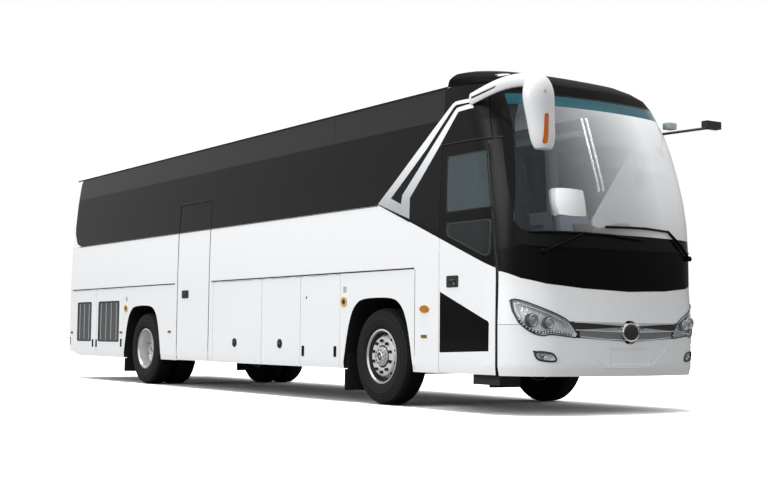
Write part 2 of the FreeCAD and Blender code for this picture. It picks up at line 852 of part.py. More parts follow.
def build_shell_parts():
    """All the panels that are cut from the body's shell."""
    node(made("side_wall_right_f", side_wall(-1)), "side_wall_right")
    node(made("side_wall_left_f", side_wall(1)), "side_wall_left")
    for name in FLAPS:
        node(made(name + "_f", flap_shape(name)), name)
    node(made("front_bumper_f", front_body("bumper")), "front_bumper")
    node(made("front_panel_f", front_body("panel")), "front_panel")
    node(made("front_mask_f", front_body("mask")), "front_mask")
    screen = GLASS_SHELL.common(prism(windscreen_outline(0), -BIG / 2, BIG / 2))
    node(made("windscreen_f", screen), "windscreen")
    node(made("front_lamps_f", front_lamps()), "front_lamps")
    node(made("grille_strip_f", grille_strip()), "grille_strip")
    node(made("front_door_f", front_door()), "front_door")
    node(made("front_door_glass_f", front_door_glass()), "front_door_glass")
    node(made("mid_door_f", mid_door()), "mid_door")
    y0, y1 = side_slab(-1)
    pane = GLASS_SHELL.common(prism(mid_door_pane(0), y0, y1))
    node(made("mid_door_glass_f", pane), "mid_door_glass")


build_shell_parts()


# Rear end and roof


REAR_DOOR = (820, 720, 1960)
REAR_SLOTS, REAR_SLOT_PITCH = 9, 54
FLAP_SLOT = OUTER.cut(loft(body_levels(), 18))
REAR_WINDOW = (960, 2150, 2960)
TAIL_LAMP = (960, 1110, 1010, 1560)


def tail_lamp_outline(side, margin):
    """One tail lamp seen from behind."""
    y0, y1, z0, z1 = TAIL_LAMP
    a, b = sorted((side * y0, side * y1))
    low, high = z0 - margin, z1 + margin
    return [(a - margin, low), (b + margin, low), (b + margin, high), (a - margin, high)]


def build_rear():
    """The rear wall, window, engine door and lamps."""
    near, far = s.rear_x - 100, s.rear_x + s.end_wall + 100
    wall = WALL_SHELL.common(tail_core(0))
    half, z0, z1 = REAR_WINDOW
    window = front_prism(rear_outline(half, z0, z1), near, far)
    seat = front_prism(rear_outline(half + s.fit, z0 - s.fit, z1 + s.fit), near, far)
    opening = front_prism(rear_outline(half - 60, z0 + 60, z1 - 60), near, far)
    d_half, d0, d1 = REAR_DOOR
    hatch = front_prism(rear_outline(d_half, d0, d1), near, far)
    hatch_seat = front_prism(rear_outline(d_half + s.seam, d0 - s.seam, d1 + s.seam), near, far)
    hatch_hole = front_prism(rear_outline(d_half - 30, d0 + 30, d1 - 30), near, far)
    holes = [GLASS_REBATE.common(seat), opening, FLAP_REBATE.common(hatch_seat), hatch_hole, TAIL_WEDGE]
    lamps = []
    for side in (-1, 1):
        holes.append(GLASS_REBATE.common(front_prism(tail_lamp_outline(side, s.fit), near, far)))
        lamps.append(GLASS_SHELL.common(front_prism(tail_lamp_outline(side, 0), near, far)))
    node(made("rear_wall_f", wall.cut(holes)), "rear_wall")
    panes = [side_glass(-1), side_glass(1), GLASS_SHELL.common(window)]
    node(made("saloon_glass_f", Part.makeCompound(panes)), "saloon_glass")
    top_set = 15 + 15 * (d1 - 1900) / (s.belt_z - 1900)
    line = Vector(s.rear_x + top_set, -80, d1 + s.seam / 2)
    skin = FLAP_SHELL.common(hatch)
    for i in range(REAR_SLOTS):
        z = d0 + 120 + i * REAR_SLOT_PITCH
        slot = rear_outline(half - 340, z, z + REAR_SLOT_PITCH / 2)
        skin = skin.cut(FLAP_SLOT.common(front_prism(slot, near, far)))
    door = skin.fuse(hinge_barrel(line, Vector(0, 1, 0), 1))
    node(made("engine_door_rear_f", door), "engine_door_rear")
    node(made("tail_lamps_f", Part.makeCompound(lamps)), "tail_lamps")


def build_roof():
    """The roof skin, the front cap and the cooling unit on top."""
    levels = roof_levels()
    split = nose_split_x(s.band_top_z) - 510
    shell = loft(levels, 0, 0, s.fit).cut(loft(levels, s.wall, s.wall, 0))
    rear_part = block(s.rear_x - 10, split - s.fit, -BIG / 2, BIG / 2, s.band_top_z - 10, s.roof_z + 50)
    node(made("roof_panel_f", shell.common(rear_part)), "roof_panel")
    caps = cap_levels()
    cap = loft(caps, 0, 0, s.fit).cut(loft(caps, s.wall, s.wall, 0))
    front_part = prism([
        (split, s.band_top_z + s.fit),
        (nose_split_x(s.band_top_z) + s.fit, s.band_top_z + s.fit),
        (nose_split_x(s.windscreen_top_z) + s.fit, s.windscreen_top_z),
        (s.front_x, s.windscreen_top_z),
        (s.front_x, s.cap_z + 50),
        (split + 90, s.cap_z + 50),
        (split, s.roof_z - 60),
    ], -BIG / 2, BIG / 2)
    node(made("roof_front_cap_f", cap.common(front_part)), "roof_front_cap")
    back, front, foot = s.rear_axle_x + 1140, s.front_axle_x - 630, s.roof_z + s.fit
    half = s.half_width - 435
    middle = (foot + s.aircon_z) / 2
    outlines = []
    for z, rear_set, front_set, side_set in ((foot, 0, 0, 0), (middle, 60, 330, 30), (s.aircon_z, 150, 640, 90)):
        x0, x1, y = back + rear_set, front - front_set, half - side_set
        corners = [Vector(x0, -y, z), Vector(x1, -y, z), Vector(x1, y, z), Vector(x0, y, z)]
        outlines.append(Part.makePolygon(corners + corners[:1]))
    unit = Part.makeLoft(outlines, True, True)
    hatches = [block(x, x + 700, -350, 350, foot, foot + 55) for x in (back - 1500, front + 250)]
    node(made("air_conditioner_f", Part.makeCompound([unit] + hatches)), "air_conditioner")


build_rear()
build_roof()


# Floor, hold and chassis


def build_floor():
    """Saloon floor, driver's platform, steps and the luggage hold's tray."""
    main = box("floor_main", "rear_x + end_wall", "door_back_x - 60", "-half_width + wall + 10",
               "half_width - wall - 10", "floor_z - plate", "floor_z")
    well = box("floor_well", "mid_door_back_x", "mid_door_front_x", "-half_width", "-half_width + 900",
               "floor_z - 2 * plate", "floor_z + plate")
    deck = cut("floor_cut", main, well)
    stage = box("floor_stage", "door_back_x - 60", "door_front_x - 120", "-half_width + 840 + fit",
                "half_width - wall - 10", "platform_z - plate", "platform_z")
    riser = box("floor_riser", "door_back_x - 90", "door_back_x - 60", "-half_width + 840 + fit",
                "half_width - wall - 10", "platform_z - plate", "floor_z - plate")
    node(fuse("floor_all", [deck, stage, riser]), "floor_deck")
    steps = []
    for i in range(3):
        low = "skirt_z + %d" % (40 + 240 * i)
        inner = "-half_width + %d" % (360 + 240 * i)
        outer = "-half_width + %d" % (85 + 240 * i)
        steps.append(box("front_tread_%d" % i, "door_back_x + 40", "door_front_x - 120", outer, inner, low,
                         low + " + plate"))
        high = low + " + 240 + plate" if i < 2 else "platform_z"
        steps.append(box("front_riser_%d" % i, "door_back_x + 40", "door_front_x - 120",
                         inner + " - plate", inner, low, high))
    steps.append(box("front_step_box", "door_back_x + 435", "door_front_x - 50", "-half_width + 105",
                     "-half_width + 360", "skirt_z - 95", "skirt_z + 50"))
    front = fuse("front_steps", steps)
    more = []
    for i in range(4):
        low = "skirt_z + %d" % (40 + 240 * i)
        inner = "-half_width + %d" % (330 + 200 * i)
        outer = "-half_width + %d" % (85 + 200 * i)
        more.append(box("mid_tread_%d" % i, "mid_door_back_x + 40", "mid_door_front_x - 40",
                        outer, inner, low, low + " + plate"))
        high = low + " + 240 + plate" if i < 3 else "floor_z - plate - fit"
        more.append(box("mid_riser_%d" % i, "mid_door_back_x + 40", "mid_door_front_x - 40",
                        inner + " - plate", inner, low, high))
    node(gather("steps_all", [front, fuse("mid_steps", more)]), "entry_steps")
    tray = box("hold_tray", "hold_back_x - 40", "service_front_x + 20", "-half_width + wall + 20",
               "half_width - wall - 20", "hold_floor_z - plate", "hold_floor_z")
    back = box("hold_back", "hold_back_x - 40", "hold_back_x - 10", "-half_width + wall + 20",
               "half_width - wall - 20", "hold_floor_z", "floor_z - plate - fit")
    front_wall = box("hold_front", "service_front_x - 10", "service_front_x + 20", "-half_width + wall + 20",
                     "half_width - wall - 20", "hold_floor_z", "floor_z - plate - fit")
    node(fuse("hold_all", [tray, back, front_wall]), "luggage_hold")


def rail_outline():
    """A chassis rail seen from the side: it rises over both axles."""
    low = s.hold_floor_z - s.plate - s.fit - s.rail_height
    front, rear = s.front_axle_x, s.rear_axle_x
    over_front = s.tyre_radius + 220
    over_rear = s.tyre_radius + 400
    tail = s.rear_x + 150
    nose = s.front_x - 420
    h = s.rail_height
    bottom = [
        (tail, low + 180), (rear - 1020, low + 180), (rear - 720, over_rear), (rear + 680, over_rear),
        (rear + 980, low), (s.service_front_x + 40, low), (s.service_front_x + 290, over_front),
        (front + 560, over_front),
        (front + 790, low), (nose, low),
    ]
    top = [(x, z + h) for x, z in reversed(bottom)]
    return bottom + top


def build_chassis():
    """The ladder frame in three modules, with its cross members, tow eyes and jacking pads."""
    rails = []
    for side in (-1, 1):
        y0 = s.rail_y if side > 0 else -s.rail_y - s.rail_width
        rails.append(prism(rail_outline(), y0, y0 + s.rail_width))
    low = s.hold_floor_z - s.plate - s.fit - s.rail_height
    members = []
    for x, z in ((s.rear_x + 160, low + 180), (s.rear_axle_x - 1080, low + 180), (s.rear_axle_x + 1000, low),
                 (s.hold_back_x + 600, low), (s.service_back_x, low), (s.front_axle_x + 900, low),
                 (s.front_x - 500, low)):
        members.append(block(x, x + 80, -s.rail_y - 5, s.rail_y + 5, z + 20, z + s.rail_height - 20))
    wall_y = s.half_width - s.wall - s.fit
    for x, y in ((s.rear_axle_x + 1130, wall_y), (s.hold_back_x + 620, wall_y - 20),
                 (s.service_back_x + 20, wall_y - 20), (s.front_axle_x + 1000, wall_y)):
        members.append(block(x, x + 60, -y, y, low + 30, low + s.rail_height - 40))
    nose = s.front_x - 420
    for side in (-1, 1):
        y0 = s.rail_y if side > 0 else -s.rail_y - s.rail_width
        members.append(block(nose, nose + 60, y0, y0 + s.rail_width, low, s.scuttle_z - 50))
        for z in (low + 60, s.mask_low_z - 170, s.scuttle_z - 130):
            arm = block(nose + 40, s.front_x, y0, y0 + s.rail_width, z, z + 80)
            members.append(arm.common(INNER_SEAT))
    eyes = []
    for x, z in ((s.front_x - 520, low - 30), (s.rear_x + 200, low + 150)):
        y = s.rail_y + (s.rail_width - s.tow_eye_width) / 2
        eye = Part.makeCylinder(s.tow_eye_radius, s.tow_eye_width, Vector(x, y, z), Vector(0, 1, 0))
        bore_foot = Vector(x, y - 10, z)
        bore = Part.makeCylinder(s.tow_bore_radius, s.tow_eye_width + 20, bore_foot, Vector(0, 1, 0))
        eyes.append(eye.cut(bore))
    pads = []
    for x in (s.front_axle_x - 900, s.rear_axle_x + 1150):
        for side in (-1, 1):
            y0 = s.rail_y - 20 if side > 0 else -s.rail_y - s.rail_width - 20
            pads.append(block(x, x + 120, y0, y0 + 120, low - 20, low + 5))
    frame = rails[0].fuse(rails[1:] + members + eyes + pads).removeSplitter()
    joints = [block(x, x + s.fit, -s.half_width, s.half_width, 0, s.belt_z)
              for x in (s.hold_back_x - 20, s.service_front_x + 20)]
    node(made("chassis_frame_f", frame.cut(joints)), "chassis_frame")


build_floor()
build_chassis()


# Running gear


def turned(points, centre, outward):
    """A wheel part turned about the axle: points are radius and distance outward."""
    corners = [centre + Vector(radius, outward * y, 0) for radius, y in points]
    face = Part.Face(Part.makePolygon(corners + corners[:1]))
    return face.revolve(centre, Vector(0, 1, 0), 360)


def tyre_shape(centre, outward):
    """A road tyre with rounded shoulders and bulged sides."""
    half = s.tyre_width / 2
    outer, rim = s.tyre_radius, s.rim_radius
    points = [
        (rim + 1, -half + 35), (rim + 45, -half + 8), (rim + 105, -half), (outer - 70, -half + 10),
        (outer - 22, -half + 26), (outer - 4, -half + 55), (outer, -half + 90),
        (outer, half - 90), (outer - 4, half - 55), (outer - 22, half - 26), (outer - 70, half - 10),
        (rim + 105, half), (rim + 45, half - 8), (rim + 1, half - 35),
    ]
    return turned(points, centre, outward)


def ring_of(centre, outward, circle, radius, y0, y1, count=10):
    """Pegs or holes spaced evenly round an axle, between two distances outward."""
    pegs = []
    for i in range(count):
        angle = 2 * math.pi * (i + 0.5) / count
        spot = centre + Vector(circle / 2 * math.cos(angle), outward * y0, circle / 2 * math.sin(angle))
        pegs.append(Part.makeCylinder(radius, y1 - y0, spot, Vector(0, outward, 0)))
    return pegs


def front_wheel_shape(centre, outward):
    """A forged wheel whose flat disc stands proud of the tyre, with nuts and hub cap."""
    half, rim = s.tyre_width / 2, s.rim_radius
    points = [
        (60, -half + 95), (170, -half + 95), (170, 20), (rim - 55, 20), (rim - 22, -half + 40),
        (rim + 0.7, -half + 33), (rim + 0.7, half - 33), (rim + 6, half - 22), (rim - 8, half - 20),
        (rim - 20, half - 34), (rim - 30, half - 100), (rim - 50, half - 96), (210, half - 48), (202, half - 38),
        (122, half - 38), (112, half - 44), (104, half - 36), (96, half - 2), (70, half), (0, half), (0, 90), (60, 90),
    ]
    wheel = turned(points, centre, outward)
    holes = ring_of(centre, outward, s.hand_hole_circle, s.hand_hole_radius, -20, half)
    nuts = ring_of(centre, outward, s.nut_circle, s.nut_radius, half - 45, half - 8)
    return wheel.cut(holes).fuse(nuts)


def rear_wheel_shape(centre, outward):
    """Twin wheels on one hub, the outer one deeply dished, with nuts and hub end."""
    half, rim, gap = s.tyre_width / 2, s.rim_radius, s.twin_spacing
    face = -gap / 2 + 40
    points = [
        (60, -gap + 20), (170, -gap + 20), (170, -gap + 60), (rim - 30, -gap + 100), (rim - 22, -gap - half + 40),
        (rim + 0.7, -gap - half + 33), (rim + 0.7, -gap + half - 33), (rim - 15, -gap + half - 33),
        (rim - 22, -gap + 110), (200, -gap / 2 - 12), (200, -gap / 2 + 12), (rim - 22, -110),
        (rim - 15, -half + 33), (rim + 0.7, -half + 33), (rim + 0.7, half - 33), (rim + 6, half - 22),
        (rim - 8, half - 20), (rim - 22, half - 45), (rim - 36, -30), (rim - 50, -48), (205, face + 6), (196, face),
        (125, face), (118, face + 30), (112, 20), (90, 36), (0, 36), (0, -100), (60, -100),
    ]
    wheel = turned(points, centre, outward)
    holes = ring_of(centre, outward, s.hand_hole_circle, s.hand_hole_radius, -gap / 2, 0)
    nuts = ring_of(centre, outward, s.nut_circle, s.nut_radius, face - 5, face + 32)
    return wheel.cut(holes).fuse(nuts)


def build_racks():
    """Luggage racks over the seats, along both walls."""
    z = s.band_top_z - 260
    racks = []
    for side in (-1, 1):
        edge_y = side * s.rack_edge_y
        section = [(side * s.half_width, z + 60), (edge_y, z - 30), (edge_y, z + 40),
                   (side * (s.rack_edge_y + 90), z + 45), (side * s.half_width, z + 130)]
        if side < 0:
            section.reverse()
        bar = front_prism(section, s.rear_x + 420, s.door_back_x - 260)
        racks.append(bar.common(INNER_SEAT))
    node(made("luggage_racks_f", Part.makeCompound(racks)), "luggage_racks")


def build_wheels():
    """Tyres and wheels: single at the front, twin at the rear."""
    for word, side in (("right", -1), ("left", 1)):
        y = side * (s.wheel_face - s.tyre_width / 2)
        front = Vector(s.front_axle_x, y, s.tyre_radius)
        rear = Vector(s.rear_axle_x, y, s.tyre_radius)
        inner = Vector(s.rear_axle_x, y - side * s.twin_spacing, s.tyre_radius)
        node(made("front_tyre_%s_f" % word, tyre_shape(front, side)), "front_tyre_" + word)
        node(made("front_wheel_%s_f" % word, front_wheel_shape(front, side)), "front_wheel_" + word)
        pair = Part.makeCompound([tyre_shape(rear, side), tyre_shape(inner, side)])
        node(made("rear_tyres_%s_f" % word, pair), "rear_tyres_" + word)
        node(made("rear_wheels_%s_f" % word, rear_wheel_shape(rear, side)), "rear_wheels_" + word)


def build_steering():
    """Front axle beam, knuckles, tie rod and steering wheel."""
    x, z, y = "front_axle_x", "tyre_radius", "kingpin_y"
    bar = box("beam_bar", x + " - 55", x + " + 55", "-%s + 130" % y, "%s - 130" % y,
              z + " - 190", z + " - 80")
    parts = [bar]
    for i, side in enumerate((-1, 1)):
        at = "%d * kingpin_y" % side
        low = "%s - 150" % at if side > 0 else at
        high = at if side > 0 else "%s + 150" % at
        parts.append(box("beam_end_%d" % i, x + " - 55", x + " + 55", low, high, z + " - 190", z + " + 60"))
        parts.append(rod("beam_fist_%d" % i, x, at, z + " - 65", 55, 125))
    solid = fuse("beam_solid", parts)
    clear = []
    for i, side in enumerate((-1, 1)):
        at = "%d * kingpin_y" % side
        clear.append(rod("beam_bore_%d" % i, x, at, z + " - 100", "kingpin_radius + fit", 200))
        clear.append(rod("beam_gap_%d" % i, x, at, z + " - 300", 110, "235 - fit"))
    node(cut("beam_cut", solid, fuse("beam_tools", clear)), "front_axle_beam")
    for word, side in (("right", -1), ("left", 1)):
        at = "%d * kingpin_y" % side
        far_side = "%s + %d" % (at, side * 92)
        near, far = sorted(("%s + %d" % (at, side * 62), far_side), reverse=side < 0)
        lower = rod("ear_low_" + word, x, at, z + " - 110", 55, "45 - fit")
        upper = rod("ear_high_" + word, x, at, z + " + 60 + fit", 55, 40)
        pin = rod("pin_" + word, x, at, z + " - 110", "kingpin_radius", 210)
        web = box("web_" + word, x + " - 45", x + " + 45", near, far, z + " - 110", z + " + 100")
        near, far = (at, far_side) if side > 0 else (far_side, at)
        foot = box("foot_" + word, x + " - 45", x + " + 45", near, far, z + " - 110", z + " - 65 - fit")
        head = box("head_" + word, x + " - 45", x + " + 45", near, far, z + " + 60 + fit", z + " + 100")
        start = far_side if side > 0 else at + " - 240"
        spindle = rod("spindle_" + word, x, start, z, "60 - fit", 148, "y")
        arm = box("arm_" + word, x + " - steering_arm", x, at + " - 20", at + " + 20",
                  z + " - 110", z + " - 70")
        eye = rod("eye_" + word, x + " - steering_arm", at, z + " - 110", 30, 40)
        body = fuse("knuckle_solid_" + word, [lower, upper, pin, web, foot, head, spindle, arm, eye])
        hole = rod("eye_hole_" + word, x + " - steering_arm", at, z + " - 130", "14 + fit", 80)
        node(cut("knuckle_cut_" + word, body, hole), "knuckle_" + word)
    link = rod("tie_bar", x + " - steering_arm", "-kingpin_y", z + " - 136", 20, "2 * kingpin_y", "y")
    pegs = [rod("tie_peg_%d" % i, x + " - steering_arm", "%d * kingpin_y" % side, z + " - 136", 14, 70)
            for i, side in enumerate((-1, 1))]
    node(fuse("tie_solid", [link] + pegs), "tie_rod")


STEER_X, STEER_Y, STEER_Z = s.door_front_x - 430, s.half_width - 655, s.platform_z + 660
STEER_LEAN = 30


def column_direction():
    """The way up the steering column."""
    lean = math.radians(STEER_LEAN)
    return Vector(-math.sin(lean), 0, math.cos(lean))


def build_driver_place():
    """Dashboard with the column, steering wheel and the seats."""
    up = column_direction()
    hub = Vector(STEER_X, STEER_Y, STEER_Z)
    rim = Part.makeTorus(225, 16, hub, up)
    boss = Part.makeCylinder(45, 60, hub - up * 40, up)
    wheel = rim.fuse([boss])
    for angle in (90, 210, 330):
        across = Rotation(up, angle).multVec(Rotation(Vector(0, 0, 1), up).multVec(Vector(1, 0, 0)))
        wheel = wheel.fuse(Part.makeCylinder(14, 225, hub, across))
    node(made("steering_wheel_f", wheel), "steering_wheel")
    x, z = s.door_front_x, s.platform_z
    desk = prism([
        (x - 400, z + s.fit), (x - 40, z + s.fit), (x + 60, z + 420), (x + 60, z + 500), (x - 180, z + 620),
        (x - 400, z + 560),
    ], 425 - s.half_width, s.half_width - 195)
    column = Part.makeCylinder(40, 620 - s.fit, hub - up * 660, up)
    node(made("dashboard_f", desk.fuse(column)), "dashboard")


def seat(x, y, z, width):
    """One double or single seat that faces forward: legs, cushion and back."""
    legs = block(x + 25, x + 275, y - width / 2 + 60, y + width / 2 - 60, z, z + 330)
    cushion = block(x - 60, x + 400, y - width / 2, y + width / 2, z + 330, z + 450)
    back = prism([(x - 60, z + 400), (x + 50, z + 400), (x - 90, z + 1120), (x - 190, z + 1120)],
                 y - width / 2, y + width / 2)
    return legs.fuse([cushion, back]).removeSplitter()


def build_seats():
    """Driver's seat and passenger seats in two rows of pairs."""
    chairs = [seat(STEER_X - 540, STEER_Y, s.platform_z + s.fit, 500)]
    pitch = 760
    width = 880
    first = s.rear_x + 700
    count = int((s.door_back_x - 800 - first) / pitch)
    for i in range(count + 1):
        x = first + i * pitch
        for side in (-1, 1):
            over_well = s.mid_door_back_x - 500 < x < s.mid_door_front_x + 250
            if side < 0 and over_well:
                continue
            chairs.append(seat(x, side * 700, s.floor_z + s.fit, width))
    node(made("seats_f", Part.makeCompound(chairs)), "seats")


build_racks()
build_wheels()
build_steering()
build_driver_place()
build_seats()


def build_rear_axle():
    """Drive axle with its propeller shaft, and the engine block."""
    x, z = "rear_axle_x", "tyre_radius"
    tube = rod("axle_tube", x, "-wheel_face + tyre_width / 2 + twin_spacing - 100", z, "60 - fit",
               "2 * (wheel_face - tyre_width / 2 - twin_spacing + 100)", "y")
    case = doc.addObject("Part::Sphere", "axle_case")
    bind(case, "Placement.Base.x", x)
    bind(case, "Placement.Base.z", z)
    bind(case, "Radius", 190)
    shaft = rod("axle_shaft", x + " - 1100 + fit", "0", z + " + 60", 55, "1100", "x")
    pads = [box("axle_pad_%d" % i, x + " - 70", x + " + 70", "%d - 70" % y, "%d + 70" % y, z, z + " + 100")
            for i, y in enumerate((-420, 420))]
    node(fuse("rear_axle_solid", [tube, case, shaft] + pads), "rear_axle")
    mass = box("engine_block", "rear_x + 260", "rear_x + 1500", "-350", "350", z + " - 65", z + " + 735")
    gears = box("engine_gears", "rear_x + 1500", "rear_axle_x - 1100", "-250", "250",
                z + " - 55", z + " + 385")
    feet = [box("engine_foot_%d" % i, "rear_x + %d" % d, "rear_x + %d + 120" % d, "-rail_y + fit",
                "rail_y - fit", "hold_floor_z + 30", "hold_floor_z + 110")
            for i, d in enumerate((450, 1200))]
    node(fuse("engine_solid", [mass, gears] + feet), "engine")


def build_suspension():
    """Air springs that stand between the axles and the frame."""
    bags = [
        rod("bag_fr", "front_axle_x", "-420", "tyre_radius - 80 + fit", 100, "300 - 2 * fit"),
        rod("bag_fl", "front_axle_x", "420", "tyre_radius - 80 + fit", 100, "300 - 2 * fit"),
        rod("bag_rr", "rear_axle_x", "-420", "tyre_radius + 100 + fit", 130, "300 - 2 * fit"),
        rod("bag_rl", "rear_axle_x", "420", "tyre_radius + 100 + fit", 130, "300 - 2 * fit"),
    ]
    node(gather("bags", bags), "air_springs")


def build_tanks():
    """Fuel tank ahead of the hold's middle and air tanks by the rails."""
    fuel = box("tank_fuel", "rear_axle_x + 1320", "hold_back_x - 60", "-rail_y + fit",
               "rail_y - fit", "skirt_z + 50", "skirt_z + 630")
    air = rod("tank_air", "front_axle_x + 1090", "rail_y + rail_width + 110 + fit",
              "skirt_z + 170", 110, 800, "x")
    node(gather("tanks_all", [fuel, air]), "tanks")


FLAP_LIFT = 160


def build_arches():
    """Wheel arch liners and the rubber flaps behind the wheels."""
    liners = []
    flaps = []
    for axle_x, inner in ((s.front_axle_x, 560), (s.rear_axle_x, 560)):
        for side in (-1, 1):
            y_in, y_out = side * inner, side * (s.half_width - s.wall - s.fit)
            y0, y1 = min(y_in, y_out), max(y_in, y_out)
            outer = prism(arch_outline(axle_x, 6), y0, y1)
            low_y, high_y = y0 + (6 if side > 0 else -50), y1 + (50 if side > 0 else -6)
            hollow = prism(arch_outline(axle_x, 0), low_y, high_y)
            trim = block(axle_x - 2000, axle_x + 2000, -3000, 3000, s.skirt_z - 100, s.skirt_z + 120)
            slot = block(axle_x - 400, axle_x + 400, y_in - 20, y_in + 20, s.skirt_z, s.tyre_radius + 140)
            liners.append(outer.cut([hollow, trim, slot]))
            x = axle_x - s.arch_half + 75 * (FLAP_LIFT - 60) / 340 + s.fit
            f0, f1 = (760, 1200) if axle_x > 0 else (620, 1200)
            a, b = min(side * f0, side * f1), max(side * f0, side * f1)
            flaps.append(block(x, x + 8, a, b, s.skirt_z - 170, s.skirt_z + FLAP_LIFT))
    node(made("wheel_arch_liners_f", Part.makeCompound(liners)), "wheel_arch_liners")
    node(made("mud_flaps_f", Part.makeCompound(flaps)), "mud_flaps")


build_rear_axle()
build_suspension()
build_tanks()
build_arches()


# Door gear


ARM_REACH, ARM_OFFSET = 600, 250
PIN_Y = 105


def door_arm(pin_x, post_x, z_low, z_high):
    """A turning post with two arms out to the door's pins."""
    pin_y = -s.half_width + PIN_Y
    post_y = pin_y + ARM_OFFSET
    foot = s.skirt_z + 310 + s.fit
    post = Part.makeCylinder(28, z_high + 150 - foot, Vector(post_x, post_y, foot))
    pieces = []
    for z in (z_low, z_high):
        along = Vector(pin_x - post_x, pin_y - post_y, 0)
        angle = math.degrees(math.atan2(along.y, along.x))
        bar = Part.makeBox(along.Length, 44, 30, Vector(0, -22, 0))
        bar.Placement = Placement(Vector(post_x, post_y, z), Rotation(Vector(0, 0, 1), angle))
        pieces.append(bar)
        pieces.append(Part.makeCylinder(26, 30, Vector(pin_x, pin_y, z)))
    arm = post.fuse(pieces)
    for z in (z_low, z_high):
        arm = arm.cut(Part.makeCylinder(10 + s.fit, 60, Vector(pin_x, pin_y, z - 10)))
    return arm


def door_brackets(pin_x, z_low, z_high):
    """Pins and brackets on the inside of a door leaf."""
    pin_y = -s.half_width + PIN_Y
    pieces = []
    for z in (z_low, z_high):
        pieces.append(Part.makeCylinder(10, 70, Vector(pin_x, pin_y, z - 20)))
        wall_y = s.door_leaf - 20 - s.half_width
        pieces.append(block(pin_x - 25, pin_x + 25, wall_y, pin_y + 14, z - 28, z - 6))
    return pieces


def build_door_gear():
    """Swing arms of both passenger doors; each leaf gets its pins."""
    z_low, z_high = s.skirt_z + 430, s.skirt_z + 930
    front_pin = s.door_back_x + 64
    arm = door_arm(front_pin, front_pin + ARM_REACH, z_low, z_high)
    node(made("front_door_arm_f", arm), "front_door_arm")
    mid_pin = s.mid_door_front_x - 150
    node(made("mid_door_arm_f", door_arm(mid_pin, mid_pin - ARM_REACH, z_low, z_high)), "mid_door_arm")
    for label, pin_x in (("front_door", front_pin), ("mid_door", mid_pin)):
        leaf = [obj for obj in NODES if obj.Label == label][0]
        leaf.Shape = leaf.Shape.fuse(door_brackets(pin_x, z_low, z_high))


build_door_gear()


# Mirrors and wipers


def ellipse_wire(centre, direction, across, wide, high):
    """An ellipse square to a direction, its long way along another."""
    direction = Vector(direction).normalize()
    side = (Vector(across) - direction * Vector(across).dot(direction)).normalize()
    up = direction.cross(side)
    a, b = (side, wide) if wide >= high else (up, high)
    c, d = (up, high) if wide >= high else (side, wide)
    curve = Part.Ellipse(centre + a * b, centre + c * d, centre)
    return Part.Wire(curve.toShape())


def build_mirrors():
    """The drooping mirror at the right corner and the small one on the left."""
    reach = s.front_x + s.mirror_reach
    out = s.half_width + s.mirror_overhang
    half, top = s.half_width, s.windscreen_top_z
    arm_path = [
        (Vector(s.front_x - 960, 69 - half, top - 60), Vector(1, -0.15, 0.0), 22, 60),
        (Vector(s.front_x - 600, 13 - half, top - 25), Vector(1, -0.12, 0.05), 24, 62),
        (Vector(s.front_x - 200, -40 - half, top - 15), Vector(1, -0.08, 0.0), 34, 62),
        (Vector(s.front_x + 150, -55 - half, top - 60), Vector(1, -0.05, -0.45), 48, 66),
    ]
    arm = Part.makeLoft([ellipse_wire(p, d, Vector(0, 1, 0), w, h) for p, d, w, h in arm_path], True, False)
    head_path = [
        (15, 70, 55, 20, 6), (70, 122, 95, 10, 8), (230, 162, 114, 2, 14), (430, 142, 104, 0, 36),
        (630, 112, 92, 0, 62), (690, 80, 68, 0, 68),
    ]
    wires = []
    for drop, wide, deep, back, inward in head_path:
        z = top - drop
        x = reach - 120 - back
        y = -out + 170 + inward
        curve = Part.Ellipse(Vector(x, y - wide, z), Vector(x + deep, y, z), Vector(x, y, z))
        wires.append(Part.Wire(curve.toShape()))
    head = Part.makeLoft(wires, True, False)
    bar = Part.makeCylinder(14, 520, Vector(s.front_x - 660, half - 213, top - 239), Vector(410, 230, 35))
    pod = block(s.front_x - 260, s.front_x - 180, out - 220, out, top - 205, top - 125)
    right = head.fuse(arm.cut(OUTER_CLEAR))
    node(made("mirrors_f", Part.makeCompound([right, pod.fuse(bar.cut(OUTER_CLEAR))])), "mirrors")


def nose_x(y, z):
    """X of the body's outer surface at a place on the nose."""
    line = Part.makeLine(Vector(NEAR_X - 600, y, z), Vector(s.front_x + 200, y, z))
    hit = line.common(OUTER)
    return hit.BoundBox.XMax


def strip_between(points, radius, lifts):
    """A round bar that follows the nose through given places, a little proud of it."""
    spots = [Vector(nose_x(y, z) + lift, y, z) for (y, z), lift in zip(points, lifts)]
    pieces = []
    for a, b in zip(spots, spots[1:]):
        lap = (b - a).normalize() * radius
        pieces.append(Part.makeCylinder(radius, (b - a).Length + 2 * radius, a - lap, lap))
    return pieces[0].fuse(pieces[1:]) if len(pieces) > 1 else pieces[0]


WIPERS = [
    ([(325, -45), (535, 50), (738, 138)],
     [(215, 136), (360, 138), (515, 140), (738, 139), (1075, 131), (1464, 102)]),
    ([(2244, -45), (2075, 70), (1867, 205)], [(999, 210), (1275, 218), (1522, 221), (1867, 208)]),
]


def build_wipers():
    """Two wipers parked low on the windscreen, drawn from its foot and the right side."""
    wipers = []
    for arm_places, blade_places in WIPERS:
        arm_points = [(inset - s.half_width, s.scuttle_z + rise) for inset, rise in arm_places]
        blade_points = [(inset - s.half_width, s.scuttle_z + rise) for inset, rise in blade_places]
        y, z = arm_points[0]
        boss = Part.makeCylinder(26, 60, Vector(nose_x(y, z) - 12, y, z), Vector(1, 0, 0)).cut(OUTER_CLEAR)
        arm = strip_between(arm_points, 11, [38, 38, 26])
        blade = strip_between(blade_points, 9, [22] * len(blade_points))
        wipers.append(boss.fuse([arm, blade.cut(OUTER_CLEAR)]))
    node(made("wipers_f", Part.makeCompound(wipers)), "wipers")


